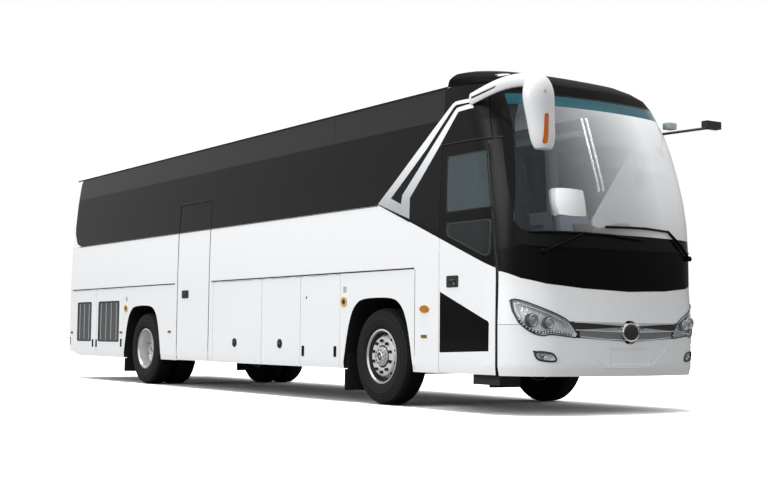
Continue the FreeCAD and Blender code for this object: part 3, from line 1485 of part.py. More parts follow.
build_mirrors()
build_wipers()

doc.recompute()


def check_objects():
    """Stops with a plain message where an object or a sub-part has failed."""
    for obj in doc.Objects:
        if "Invalid" in obj.State or "Error" in obj.State:
            raise RuntimeError("failed object: " + obj.Label)
    for obj in NODES:
        if obj.Shape.isNull() or not obj.Shape.isValid():
            raise RuntimeError("bad shape: " + obj.Label)


check_objects()
os.makedirs("parts", exist_ok=True)
for obj in NODES:
    solids = obj.Shape.Solids
    print("%-28s solids %2d volume %.4f" % (obj.Label, len(solids), sum(q.Volume for q in solids) / 1e9))
    obj.Shape.exportStep("parts/%s.step" % obj.Label)
print("sub-parts:", len(NODES))
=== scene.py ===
# %% [markdown]
# A coach bus, dressed for a studio picture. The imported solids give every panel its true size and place, so
# this script only adds what the eye wants: paint, glass, rubber, lamps and small fittings. It starts by
# loading them.

# %% Load the solids
import bpy
import bmesh
import json
import math
from mathutils import Matrix, Vector
from mathutils.bvhtree import BVHTree
from mathutils.geometry import delaunay_2d_cdt

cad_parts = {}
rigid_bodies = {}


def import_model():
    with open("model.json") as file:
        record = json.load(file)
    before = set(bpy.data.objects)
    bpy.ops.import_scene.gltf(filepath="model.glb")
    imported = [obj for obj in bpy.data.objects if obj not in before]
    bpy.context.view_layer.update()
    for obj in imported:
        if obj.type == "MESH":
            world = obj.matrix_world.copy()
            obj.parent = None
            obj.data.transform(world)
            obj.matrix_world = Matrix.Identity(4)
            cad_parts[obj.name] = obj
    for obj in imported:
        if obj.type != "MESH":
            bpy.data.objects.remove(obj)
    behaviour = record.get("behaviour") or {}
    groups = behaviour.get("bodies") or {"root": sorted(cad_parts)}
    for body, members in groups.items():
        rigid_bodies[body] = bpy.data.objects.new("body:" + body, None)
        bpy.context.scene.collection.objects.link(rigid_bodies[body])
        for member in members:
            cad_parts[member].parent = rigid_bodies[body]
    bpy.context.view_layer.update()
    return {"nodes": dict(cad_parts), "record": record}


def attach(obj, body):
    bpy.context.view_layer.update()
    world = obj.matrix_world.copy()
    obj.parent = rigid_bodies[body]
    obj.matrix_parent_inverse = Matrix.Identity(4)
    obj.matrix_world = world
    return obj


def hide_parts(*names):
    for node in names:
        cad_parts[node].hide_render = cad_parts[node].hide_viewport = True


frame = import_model()
BODY_OF = {n: body for body, nodes in frame["record"]["behaviour"]["bodies"].items() for n in nodes}
SLOT_OF = {part["node"]: part["material_slot"] for part in frame["record"]["subparts"]}
SIDES = ((-1, "right"), (1, "left"))


# %% [markdown]
# The camera stands low, off the front right corner, with a long lens, as for a sales picture. Its place was
# solved from straight edges of the coach, so it is given by a point, a heading, a tilt and a roll, and
# turned into a matrix here.

# %% Camera
CAMERA_PLACE = Vector((15.126, -8.997, 0.737))
HEADING, TILT, ROLL = math.radians(146.56), math.radians(4.17), math.radians(0.57)
FOCAL_PIXELS, PICTURE_WIDTH, SENSOR = 1318.0, 768.0, 36.0


def camera_matrix():
    """The camera's place and turn as one matrix."""
    ahead = Vector((math.cos(TILT) * math.cos(HEADING), math.cos(TILT) * math.sin(HEADING), math.sin(TILT)))
    level = Vector((math.sin(HEADING), -math.cos(HEADING), 0))
    above = level.cross(ahead)
    right = math.cos(ROLL) * level + math.sin(ROLL) * above
    up = -math.sin(ROLL) * level + math.cos(ROLL) * above
    rows = [(right[i], up[i], -ahead[i], CAMERA_PLACE[i]) for i in range(3)]
    return Matrix(rows + [(0, 0, 0, 1)])


camera_data = bpy.data.cameras.new("camera")
camera_data.lens = FOCAL_PIXELS / PICTURE_WIDTH * SENSOR
camera_data.sensor_width = SENSOR
camera_data.clip_end = 500
camera = bpy.data.objects.new("camera", camera_data)
camera.matrix_world = camera_matrix()
bpy.context.scene.collection.objects.link(camera)
bpy.context.scene.camera = camera
print("lens: %.1f mm" % camera_data.lens)

# %% [markdown]
# Colours are written as the eye names them, in sRGB hex, and turned to linear light by one function. One
# small function adds a shader or geometry node with its settings and links, so that each finish below reads
# as a list.

# %% Colour and node helpers
def colour(text, alpha=1.0):
    """An sRGB hex colour as linear red, green, blue and alpha."""
    parts = [int(text[i:i + 2], 16) / 255 for i in (1, 3, 5)]
    return tuple([c / 12.92 if c <= 0.04045 else ((c + 0.055) / 1.055) ** 2.4 for c in parts] + [alpha])


def add(tree, kind, inputs=None, **settings):
    """Adds one node: settings are its own, inputs are values or sockets to link from."""
    made = tree.nodes.new(kind)
    for name, value in settings.items():
        setattr(made, name, value)
    for name, value in (inputs or {}).items():
        socket = made.inputs[name]
        if isinstance(value, bpy.types.NodeSocket):
            tree.links.new(value, socket)
        else:
            socket.default_value = value
    return made


def new_finish(name):
    """An empty material and its tree, with Object coordinates and an output."""
    material = bpy.data.materials.new(name)
    material.use_nodes = True
    tree = material.node_tree
    tree.nodes.clear()
    place = add(tree, "ShaderNodeTexCoord")
    return material, tree, place.outputs["Object"]


def surfaced(material, inputs):
    """Ends a finish with one principled surface, and gives the finish back."""
    tree = material.node_tree
    surface = add(tree, "ShaderNodeBsdfPrincipled", inputs)
    add(tree, "ShaderNodeOutputMaterial", {"Surface": surface.outputs["BSDF"]})
    return material


def ranged(tree, value, low, high, to_low=0.0, to_high=1.0):
    """A value mapped from one range to another, as a socket."""
    limits = {"From Min": low, "From Max": high, "To Min": to_low, "To Max": to_high}
    return add(tree, "ShaderNodeMapRange", {"Value": value, **limits}).outputs["Result"]


def worked(tree, operation, a, b, c=0.0):
    """One sum on numbers or sockets, as a socket."""
    return add(tree, "ShaderNodeMath", {0: a, 1: b, 2: c}, operation=operation).outputs[0]


def mixed(tree, share, a, b):
    """Two numbers or sockets, or two hex colours, mixed by a share, as a socket."""
    if isinstance(a, str):
        ends = {"A": colour(a), "B": colour(b)}
        return add(tree, "ShaderNodeMix", {0: share, **ends}, data_type="RGBA").outputs[2]
    return add(tree, "ShaderNodeMix", {0: share, 2: a, 3: b}).outputs[0]


def bumped(tree, height, distance, strength=1.0):
    """A normal bumped by a height, as a socket."""
    sizes = {"Distance": distance, "Strength": strength}
    return add(tree, "ShaderNodeBump", {"Height": height, **sizes}).outputs["Normal"]


def noise(tree, place, scale, detail):
    """Soft noise from 0 to 1, as a socket."""
    made = add(tree, "ShaderNodeTexNoise", {"Vector": place, "Scale": scale, "Detail": detail})
    return made.outputs["Fac"]


def coat_of(name, shade, rough, metal=0.0, coat=0.0, grain=0.5, depth=0.02, spread=0.04, **more):
    """A finish of one colour with a grain: grain is its size and depth its height in millimetres."""
    material, tree, place = new_finish(name)
    normal = bumped(tree, noise(tree, place, 1000 / max(grain, 0.1), 4.0), depth / 1000)
    wear = ranged(tree, noise(tree, place, 1.7, 5.0), 0.3, 0.7, rough - spread, rough + spread)
    return surfaced(material, {
        "Base Color": colour(shade), "Roughness": wear, "Metallic": metal, "Coat Weight": coat,
        "Coat Roughness": 0.04, "Normal": normal, **more})


# %% [markdown]
# Coach paint is an acrylic enamel under a clear coat. Sprayed and baked, it keeps a faint orange peel of a
# few millimetres that breaks up reflections. The black mask and cap are the same paint in black.

# %% Paints
white_paint = coat_of("baked_white_enamel", "#eceef0", 0.34, coat=0.25, grain=6, depth=0.01)
black_paint = coat_of("baked_black_enamel", "#0d0d0e", 0.3, grain=6, depth=0.01,
                      **{"Specular IOR Level": 0.1})
mask_paint = coat_of("gloss_black_mask_enamel", "#09090a", 0.26, grain=6, depth=0.01, spread=0.02,
                     **{"Specular IOR Level": 0.08})
cap_paint = coat_of("matt_black_cap_enamel", "#050506", 0.5, grain=6, depth=0.01,
                    **{"Specular IOR Level": 0.02})
# Near black for dark inner parts, and painted shade in gaps, slots and behind holes.
black_parts_and_painted_shade = coat_of("black_parts_and_painted_shade_finish", "#0e0e0f", 0.8, grain=3, depth=0.1)
chassis_paint = coat_of("chassis_black_paint", "#141415", 0.6, grain=3, depth=0.1)

# %% [markdown]
# Rubber and plastic are dull, because their moulds are grained. Cast and drawn metals differ in roughness
# most of all, so each has its own finish. The wheels are forged aluminium alloy, machined and then
# polished.

# %% Rubber, plastic and metal
seal_rubber = coat_of("extruded_seal_rubber", "#101011", 0.7, grain=1.5, depth=0.05)
wiper_black = coat_of("wiper_black_powder_coat", "#050505", 0.7, grain=1, depth=0.02,
                      **{"Specular IOR Level": 0.1})
flap_rubber = coat_of("mud_flap_rubber", "#131314", 0.8, grain=4, depth=0.2)
grained_plastic = coat_of("grained_abs_plastic", "#17181a", 0.55, grain=1.2, depth=0.08)
dash_plastic = coat_of("soft_touch_dash_plastic", "#3a3d40", 0.6, grain=1.5, depth=0.1)
trim_panel = coat_of("grey_trim_laminate", "#6d7175", 0.6, grain=3, depth=0.05)
floor_lino = coat_of("ribbed_floor_lino", "#6c6f73", 0.5, grain=4, depth=0.1)
polished_alloy = coat_of("polished_forged_alloy", "#e6e7e9", 0.3, metal=0.85, grain=0.6, depth=0.01)
machined_alloy = coat_of("machined_forged_alloy", "#dddee0", 0.4, metal=0.45, grain=1.2, depth=0.2)
# Painted shade: the wheel alloy made darker, for the hollows of the wheels.
shaded_alloy = coat_of("alloy_in_painted_shade", "#3a3b3d", 0.6, metal=0.5, grain=3, depth=0.1)
dark_steel = coat_of("phosphated_steel_nut", "#1a1a1b", 0.5, metal=0.4, grain=1, depth=0.05)
# Painted shade and highlight: blades and ribs are one anodising, the blades darker, the ribs lighter.
shaded_louvre_blade = coat_of("anodised_louvre_blade_in_painted_shade", "#505254", 0.5, grain=2, depth=0.1)
louvre_rib = coat_of("anodised_louvre_rib", "#97999b", 0.45, grain=2, depth=0.1)
pale_plastic = coat_of("pale_grey_abs_cover", "#b4c2c9", 0.45, grain=1.2, depth=0.05)
chrome_plate = coat_of("chrome_plate_on_abs", "#e2e3e5", 0.1, metal=1.0, grain=3, depth=0.002)
cast_metal = coat_of("cast_iron_machined", "#2c2c2e", 0.55, metal=0.6, grain=2, depth=0.15)
sheet_metal = coat_of("rolled_aluminium_sheet", "#9fa1a4", 0.4, metal=0.9, grain=1, depth=0.02)
engine_paint = coat_of("engine_block_enamel", "#55595c", 0.5, grain=3, depth=0.1)
lens_red = coat_of("red_acrylic_lens", "#7a0a0c", 0.12, coat=0.8, grain=4, depth=0.05)
lens_amber = coat_of("amber_acrylic_lens", "#d06a10", 0.15, coat=0.8, grain=3, depth=0.05)
lens_clear = coat_of("clear_marker_lens", "#e8eaec", 0.12, coat=0.8, grain=3, depth=0.03)
mirror_face = coat_of("silvered_mirror_glass", "#c8ccd0", 0.03, metal=1.0, grain=20, depth=0.001, spread=0.0)
seat_cloth = coat_of("woven_seat_moquette", "#4c5569", 0.85, grain=2, depth=0.3, **{"Sheen Weight": 0.3})
lace_cover = coat_of("lace_head_cover", "#f2f4f6", 0.8, grain=14, depth=1.5, **{"Sheen Weight": 0.2})

# %% [markdown]
# Small fittings have finishes of their own: silvered lamp bowls, resins, woven wire and brass. Each finish
# has a usual slot, which is the family of materials that a piece in it belongs to.

# %% Finishes of small fittings
bowl_silver = coat_of("vacuum_silvered_bowl", "#e6e8ea", 0.25, metal=0.6, grain=18, depth=9.0, spread=0.12)
lens_glass = coat_of("projector_lens_glass", "#8d979f", 0.05, metal=0.35, coat=1.0, grain=30, depth=0.001,
                     spread=0.0)
diode_white = coat_of("white_diode_resin", "#f4f6f8", 0.3, coat=0.5, grain=2, depth=0.01)
wire_mesh = coat_of("grille_wire_mesh", "#9b9fa2", 0.4, metal=0.5, grain=1, depth=0.05)
brass_ring = coat_of("brass_coupling_ring", "#dcb866", 0.35, metal=0.35, grain=1, depth=0.02)
amber_brown = coat_of("aged_amber_lens", "#7a5f24", 0.2, coat=0.6, grain=3, depth=0.05)
core_brown = coat_of("coupling_dust_plug", "#33240f", 0.6, grain=2, depth=0.05)
marker_amber = coat_of("side_marker_lens", "#b0702a", 0.2, coat=0.6, grain=5, depth=0.2)
label_grey = coat_of("grey_vinyl_label", "#a9aba6", 0.6, grain=1, depth=0.01)
SLOTS = {
    "black_rubber": [seal_rubber, flap_rubber],
    "black_plastic": [grained_plastic, black_parts_and_painted_shade, dash_plastic, wiper_black, pale_plastic, louvre_rib,
                      core_brown],
    "bright_metal": [chrome_plate, bowl_silver, mirror_face, brass_ring, wire_mesh, sheet_metal],
    "clear_lamp": [lens_glass, diode_white, lens_clear, lens_amber, marker_amber, amber_brown],
    "red_lamp": [lens_red],
    "white_paint": [white_paint, label_grey],
    "wheel_steel": [polished_alloy, dark_steel],
    "seat_cloth": [seat_cloth, lace_cover],
}
USUAL_SLOT = {finish.name: slot_name for slot_name, finishes in SLOTS.items() for finish in finishes}
print("finishes:", len(bpy.data.materials))

# %% [markdown]
# Tyre rubber carries its moulding as bump: raised rings on the side walls, grooves round the tread and fine
# cuts across its shoulders. The same heights paint the grooves and cuts darker as shade and the rings a
# little lighter as highlight. All are measured from the axle, so each axle has its own copy of the finish.

# %% Tyre rubber
TYRE_RADIUS, AXLE_X = 0.515, {"front": 3.31, "rear": -2.98}
RING_PITCH, GROOVE_PITCH, CUT_ANGLE, TREAD_RADIUS = 0.03, 0.028, 0.035, 0.488


def tyre_finish(axle):
    """Moulded rubber round one axle, painted darker in its grooves and cuts as shade."""
    material, tree, place = new_finish("vulcanised_tyre_rubber_" + axle)
    hub = (AXLE_X[axle], 0, TYRE_RADIUS)
    arm = add(tree, "ShaderNodeVectorMath", {0: place, 1: hub}, operation="SUBTRACT").outputs[0]
    flat = add(tree, "ShaderNodeVectorMath", {0: arm, 1: (1, 0, 1)}, operation="MULTIPLY").outputs[0]
    radius = add(tree, "ShaderNodeVectorMath", {0: flat}, operation="LENGTH").outputs["Value"]
    split = add(tree, "ShaderNodeSeparateXYZ", {"Vector": arm})
    rings = ranged(tree, worked(tree, "PINGPONG", radius, RING_PITCH), 0.022, 0.028)
    across = worked(tree, "PINGPONG", split.outputs["Y"], GROOVE_PITCH)
    groove = ranged(tree, across, 0.021, 0.024, 0.0, -1.0)
    angle = worked(tree, "ARCTAN2", split.outputs["X"], split.outputs["Z"])
    cuts = ranged(tree, worked(tree, "PINGPONG", angle, CUT_ANGLE), 0.024, 0.03, 0.0, -0.6)
    on_tread = ranged(tree, radius, TREAD_RADIUS, TREAD_RADIUS + 0.006)
    height = mixed(tree, on_tread, rings, worked(tree, "ADD", groove, cuts))
    # Painted shade and highlight: darker in grooves and cuts, lighter on the raised rings.
    tone = mixed(tree, ranged(tree, height, -1.0, 0.5), "#040404", "#131414")
    return surfaced(material, {"Base Color": tone, "Roughness": 0.8, "Normal": bumped(tree, height, 0.006),
                               "Specular IOR Level": 0.3})


# %% [markdown]
# Coach glass comes in three depths of tint. The side band is backed with black, so it reads as one dark
# mirror. The door panes are grey, and the windscreen is nearly clear. Clearness is set by alpha, which
# keeps the inside lit, and a Layer Weight makes each pane close up at a grazing view, as glass does.

# %% Glass
def float_waves(tree, place):
    """The faint waves of float glass, as a bumped normal."""
    return bumped(tree, noise(tree, place, 0.8, 1.0), 0.002, 0.4)


def pane_of(name, shade, clear, closed, rough=0.03, gloss=0.5):
    """A pane whose cover goes from clear, seen straight on, to closed, seen along it."""
    material, tree, place = new_finish(name)
    edge = add(tree, "ShaderNodeLayerWeight", {"Blend": 0.45})
    return surfaced(material, {
        "Base Color": colour(shade), "Roughness": rough,
        "Alpha": ranged(tree, edge.outputs["Facing"], 0.0, 1.0, clear, closed),
        "Normal": float_waves(tree, place), "Specular IOR Level": gloss})


band_glass = pane_of("black_backed_band_glass", "#1a1a1b", 0.99, 1.0, 0.08, 0.06)
# Painted reflection: a paler copy of the band glass, for the part above its crease that mirrors the sky.
painted_sky_glass = pane_of("band_glass_with_painted_sky_reflection", "#2b2c2d", 0.99, 1.0, 0.08, 0.08)
door_glass = pane_of("grey_door_glass", "#434e52", 0.74, 0.9, gloss=0.2)
smoked_glass = pane_of("smoked_door_glass", "#242929", 0.82, 0.94, gloss=0.15)


def windscreen_glass():
    """Laminated glass: see-through where it faces the eye, with a painted white reflection where it turns
    away.
    """
    material, tree, place = new_finish("laminated_glass_with_painted_reflection")
    facing = add(tree, "ShaderNodeNewGeometry").outputs["Normal"]
    level = add(tree, "ShaderNodeVectorMath", {0: facing, 1: (1.0, 1.0, 0.25)}, operation="MULTIPLY")
    upright = add(tree, "ShaderNodeVectorMath", {0: level.outputs[0]}, operation="NORMALIZE")
    edge = add(tree, "ShaderNodeLayerWeight", {"Blend": 0.5, "Normal": upright.outputs[0]})
    turn = ranged(tree, edge.outputs["Facing"], 0.08, 0.42)
    return surfaced(material, {
        # Painted reflection: the base colour turns white where the pane turns away from the eye.
        "Base Color": mixed(tree, turn, "#4a5258", "#f3f5f7"), "Roughness": 0.03,
        "Alpha": ranged(tree, turn, 0.0, 1.0, 0.22, 0.93),
        "Normal": float_waves(tree, place), "Specular IOR Level": 0.3})


screen_glass = windscreen_glass()
side_clear_glass = pane_of("clear_side_glass", "#c9d0d4", 0.12, 0.4, gloss=0.3)
sun_band_glass = pane_of("teal_sun_band_glass", "#1f5a66", 0.72, 0.95, gloss=0.2)
frit_glass = pane_of("black_frit_glass", "#131314", 1.0, 1.0, 0.06, 0.1)
lamp_glass = pane_of("moulded_lamp_cover", "#eef2f5", 0.03, 0.22)
USUAL_SLOT[lamp_glass.name] = "clear_lamp"

# %% [markdown]
# The solids arrive as loose triangles, which shade flat. A copy with its doubles merged takes smooth
# shading, and cutting the copy along a plane before it is painted gives a paint line as crisp as masking
# tape does. Each copy then stands for its solid.

# %% Copies of the solids, merged, cut and painted
SHARP_ANGLE = math.radians(32)


def merged_copy(node_name, cuts=()):
    """A bmesh of a node, doubles merged and cut along planes given as point and normal."""
    mesh = bmesh.new()
    mesh.from_mesh(frame["nodes"][node_name].data)
    bmesh.ops.remove_doubles(mesh, verts=mesh.verts, dist=0.00005)
    for point, normal in cuts:
        everything = mesh.verts[:] + mesh.edges[:] + mesh.faces[:]
        bmesh.ops.bisect_plane(mesh, geom=everything, plane_co=point, plane_no=normal, dist=0.00002)
    return mesh


def even_normals(mesh, sharp):
    """A normal for each face corner, weighted by area, so that slivers don't stain a wide panel."""
    limit = math.cos(sharp)
    weighted = {face: face.normal * face.calc_area() for face in mesh.faces}
    corners = []
    for face in mesh.faces:
        for loop in face.loops:
            total = Vector()
            for other in loop.vert.link_faces:
                if other.normal.dot(face.normal) > limit:
                    total += weighted[other]
            corners.append(total.normalized() if total.length > 0 else face.normal.copy())
    return corners


def put(name, mesh, finishes, body="coach", slot_name=None, sharp=SHARP_ANGLE):
    """Makes an object from a bmesh, smooth up to an angle, and sets it to ride on a body."""
    data = bpy.data.meshes.new(name)
    mesh.normal_update()
    corners = even_normals(mesh, sharp)
    mesh.to_mesh(data)
    mesh.free()
    for finish in finishes:
        data.materials.append(finish)
    data.shade_smooth()
    data.normals_split_custom_set(corners)
    piece = bpy.data.objects.new(name, data)
    bpy.context.scene.collection.objects.link(piece)
    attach(piece, body)
    slot_name or USUAL_SLOT[finishes[0].name]
    return piece


def dress(node_name, finishes, choose=None, cuts=(), sharp=SHARP_ANGLE):
    """Replaces a node by its painted copy; choose numbers a face's finish from its middle and normal."""
    mesh = merged_copy(node_name, cuts)
    if choose:
        for face in mesh.faces:
            face.material_index = choose(face.calc_center_median(), face.normal)
    piece = put("dressed_" + node_name, mesh, finishes, BODY_OF[node_name], SLOT_OF[node_name], sharp)
    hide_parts(node_name)
    return piece


# %% [markdown]
# Above a line that drops from the band to the front corner, the sides are black. It is the coach's main
# paint line, and it runs on over the front doors. Panels show pale trim on their inner faces up high; lower
# inner faces and cut edges low down are black, painted shade.

# %% The paint line on the sides
BELT_Z, LINE_START_X, LINE_SLOPE = 2.133, 3.325, -0.376
TAIL_CORNER_X, INNER_TRIM_Z, HOLD_TOP_Z = -5.9, 1.3, 1.42


def line_z(x):
    """Height of the paint line at a place along the coach."""
    return BELT_Z + min(0.0, LINE_SLOPE * (x - LINE_START_X))


PAINT_CUTS = [(Vector((LINE_START_X, 0, BELT_Z)), Vector((-LINE_SLOPE, 0, 1)).normalized())]


def inward(middle, normal):
    """True where a face of a side panel looks into the coach."""
    return normal.y * middle.y < -0.3 * abs(middle.y)


def side_finish(middle, normal):
    """White below the line, black above it, trim inside up high, and black as painted shade on low inner
    faces and cut edges low down.
    """
    # Painted shade: inner faces below the trim and cut edges low down are black.
    if inward(middle, normal):
        return 2 if middle.z > INNER_TRIM_Z else 3
    if abs(normal.y) < 0.3 and middle.z < HOLD_TOP_Z and middle.x > TAIL_CORNER_X:
        return 3
    return 1 if middle.x > LINE_START_X - 0.1 and middle.z > line_z(middle.x) + 0.0001 else 0


def rear_finish(middle, normal):
    """The tail is white outside and trimmed inside."""
    return 2 if normal.x > 0.3 else 0


SIDE_FINISHES = [white_paint, black_paint, trim_panel, black_parts_and_painted_shade]
for node_name in ("side_wall_right", "side_wall_left", "front_door"):
    dress(node_name, SIDE_FINISHES, side_finish, PAINT_CUTS)
BELT_CUT = [(Vector((0, 0, BELT_Z)), Vector((0, 0, 1)))]
dress("mid_door", SIDE_FINISHES, lambda m, n: 2 if inward(m, n) else int(m.z > BELT_Z), BELT_CUT)
dress("rear_wall", SIDE_FINISHES, rear_finish, BELT_CUT)
print("paint line falls from %.3f m to %.3f m" % (line_z(0), line_z(5.33)))

# %% [markdown]
# Flaps, bumper, roof and tail are white too. Their louvres are grey blades, darker than their ribs as
# painted shade, and the air slots of the tail are black inside, painted shade. The mask round the windscreen
# and the cap over it are black.

# %% The other panels
FLAP_NODES = ["luggage_door_right_rear", "luggage_door_right_front", "service_door_right",
              "luggage_door_left_rear", "luggage_door_left_front", "service_door_left",
              "radiator_door_front", "radiator_door_rear", "engine_door_left", "front_bumper",
              "front_panel", "roof_panel", "air_conditioner"]
LOUVRES_X = [(-5.61, -5.02), (-4.7, -3.87)]
LOUVRED = {"radiator_door_rear": LOUVRES_X[:1], "radiator_door_front": LOUVRES_X[1:],
           "engine_door_left": LOUVRES_X}
LOUVRE_LOW_Z, LOUVRE_HIGH_Z = 0.607, 1.223


def flap_finish(ranges):
    """Grey blades where a flap carries its louvres, darker than the ribs as painted shade; paint elsewhere.
    """
    def choose(middle, normal):
        behind = LOUVRE_LOW_Z < middle.z < LOUVRE_HIGH_Z
        return int(behind and any(a < middle.x < b for a, b in ranges))
    return choose


for node_name in FLAP_NODES:
    dress(node_name, [white_paint, shaded_louvre_blade], flap_finish(LOUVRED.get(node_name, [])))
dress("front_mask", [mask_paint])
dress("roof_front_cap", [cap_paint])
SLOT_FOOT_Z, SLOT_PITCH, SLOT_COUNT, SLOT_HALF_Y, TAIL_FACE_X = 0.84, 0.054, 9, 0.62, -6.13


def tail_door_finish(middle, normal):
    """Black as painted shade inside the air slots of the engine door, white elsewhere."""
    level = (middle.z - SLOT_FOOT_Z) / SLOT_PITCH
    in_a_row = -0.02 < level < SLOT_COUNT and level % 1 < 0.52
    sunk = abs(middle.y) < SLOT_HALF_Y + 0.002 and middle.x > TAIL_FACE_X
    return int(in_a_row and sunk and normal.x < 0.3)


# The second finish is painted shade inside the air slots.
dress("engine_door_rear", [white_paint, black_parts_and_painted_shade], tail_door_finish)

# %% [markdown]
# A windscreen is bonded in place, so its rim is printed black to hide the glue, and a teal band at the top
# keeps the sun out. The copy is cut at those heights and across its lower corners.

# %% Windscreen and side glass
FRIT_LOW_Z, FRIT_TOP_Z, SUN_BAND_Z = 1.728, 3.112, 2.998
SCREEN_CUTS = [(Vector((0, 0, z)), Vector((0, 0, 1))) for z in (FRIT_LOW_Z, FRIT_TOP_Z, SUN_BAND_Z)]
CORNER_Y, CORNER_Z, CORNER_RADIUS = 1.025, 1.848, 0.12
for side in (-1, 1):
    SCREEN_CUTS.append((Vector((0, side * 1.14, 1.95)), Vector((0, side * 0.993, 0.12))))
    for turn in (-18, -36, -54, -72):
        out = Vector((0, side * math.cos(math.radians(turn)), math.sin(math.radians(turn))))
        SCREEN_CUTS.append((Vector((0, side * CORNER_Y, CORNER_Z)) + out * CORNER_RADIUS, out))


def screen_finish(middle, normal):
    """Frit at the rim, sun band near the top, clear glass between."""
    corner = any((middle - point).dot(out) > 0 for point, out in SCREEN_CUTS[3:])
    if middle.z < FRIT_LOW_Z or middle.z > FRIT_TOP_Z or corner:
        return 1
    return 2 if middle.z > SUN_BAND_Z else 0


dress("windscreen", [screen_glass, frit_glass, sun_band_glass], screen_finish, SCREEN_CUTS)
CREASE_Z, DRIVER_LOW_Z, DRIVER_HIGH_Z, DRIVER_X = 2.92, 1.72, 2.86, 5.06
STRIPE_X, STRIPE_Z, STRIPE_LEAN = 4.0, 2.2, 0.96


def band_finish(middle, normal):
    """The driver's window is clear; the rest is black-backed, with a paler painted sky reflection above its
    crease.
    """
    ahead_of_stripes = middle.x > STRIPE_X + STRIPE_LEAN * (middle.z - STRIPE_Z)
    in_height = DRIVER_LOW_Z < middle.z < DRIVER_HIGH_Z
    if middle.y > 0 and ahead_of_stripes and middle.x < DRIVER_X and in_height:
        return 1
    # Painted reflection: above the crease, faces along the side take the paler glass.
    return 2 if middle.z > CREASE_Z and abs(normal.x) < 0.5 else 0


DRIVER_CUTS = [(Vector((DRIVER_X, 0, 0)), Vector((1, 0, 0))),
               (Vector((STRIPE_X, 0, STRIPE_Z)), Vector((1, 0, -STRIPE_LEAN)).normalized())]
DRIVER_CUTS += [(Vector((0, 0, z)), Vector((0, 0, 1))) for z in (DRIVER_LOW_Z, DRIVER_HIGH_Z, CREASE_Z)]
dress("saloon_glass", [band_glass, side_clear_glass, painted_sky_glass], band_finish, DRIVER_CUTS)
UPPER_PANE_Z, LOWER_PANE_Z = 1.93, 1.3
dress("front_door_glass", [door_glass, smoked_glass, frit_glass],
      lambda m, n: 0 if m.z > UPPER_PANE_Z else 1 if m.z > LOWER_PANE_Z else 2)
dress("mid_door_glass", [band_glass])

# %% [markdown]
# The running gear and what is inside keep the solids' forms. Each gets the finish of its real metal,
# rubber, plastic or cloth.

# %% Running gear and inside
PLAIN_FINISHES = {
    "grille_strip": grained_plastic,
    "floor_deck": floor_lino, "luggage_hold": sheet_metal,
    "chassis_frame": chassis_paint, "front_axle_beam": chassis_paint, "knuckle_right": cast_metal,
    "knuckle_left": cast_metal, "tie_rod": cast_metal, "rear_axle": cast_metal, "engine": engine_paint,
    "air_springs": seal_rubber, "tanks": sheet_metal, "wheel_arch_liners": grained_plastic,
    "mud_flaps": flap_rubber, "front_door_arm": chassis_paint, "mid_door_arm": chassis_paint,
    "wipers": wiper_black, "steering_wheel": grained_plastic, "dashboard": dash_plastic,
    "luggage_racks": trim_panel,
}
for node_name, finish in PLAIN_FINISHES.items():
    dress(node_name, [finish])
CLEAR_TOP_Z, AMBER_TOP_Z = 1.16, 1.33
LAMP_CUTS = [(Vector((0, 0, z)), Vector((0, 0, 1))) for z in (CLEAR_TOP_Z, AMBER_TOP_Z)]
dress("tail_lamps", [lens_red, lens_amber, lens_clear],
      lambda m, n: 2 if m.z < CLEAR_TOP_Z else 1 if m.z < AMBER_TOP_Z else 0, LAMP_CUTS)

# %% [markdown]
# Each wheel is one forging, but it isn't one finish: the lip and disc are polished and the nuts are dark,
# while the walls of the hand holes, the well and the hub groove are alloy painted darker as shade. The
# finish of a face follows from its distance to the axle and its depth.

# %% Wheels and tyres
TYRE_MIDDLE_Y = 1.086
NUTS, NUT_HEIGHT, HAND_HOLES = (0.148, 0.187), 0.04, (0.209, 0.256)
WELL, HUB_GROOVE, LIP_RADIUS, HUB_RADIUS = (0.238, 0.266), (0.1045, 0.1215), 0.262, 0.1
DISC_DEPTH, HOLE_DEPTH, WELL_DEPTH = {"front": 0.112, "rear": -0.129}, {"front": 0.1, "rear": -0.05}, 0.114


def wheel_finish(axle):
    """Polished or machined metal, or alloy painted darker as shade, by radius and by depth from the outer
    tyre's middle.
    """
    def choose(middle, normal):
        radius = math.hypot(middle.x - AXLE_X[axle], middle.z - TYRE_RADIUS)
        depth = abs(middle.y) - TYRE_MIDDLE_Y
        if NUTS[0] < radius < NUTS[1] and DISC_DEPTH[axle] < depth < DISC_DEPTH[axle] + NUT_HEIGHT:
            return 3
        # Painted shade: the walls of the hand holes, and the front well and hub groove, take the darker
        # alloy.
        if HAND_HOLES[0] < radius < HAND_HOLES[1] and abs(normal.y) < 0.25 and depth < HOLE_DEPTH[axle]:
            return 2
        in_well = WELL[0] < radius < WELL[1] and depth < WELL_DEPTH
        in_groove = HUB_GROOVE[0] < radius < HUB_GROOVE[1] and normal.y * middle.y > 0.3
        if axle == "front" and (in_well or in_groove):
            return 2
        return 0 if radius > LIP_RADIUS or radius < HUB_RADIUS else 1
    return choose


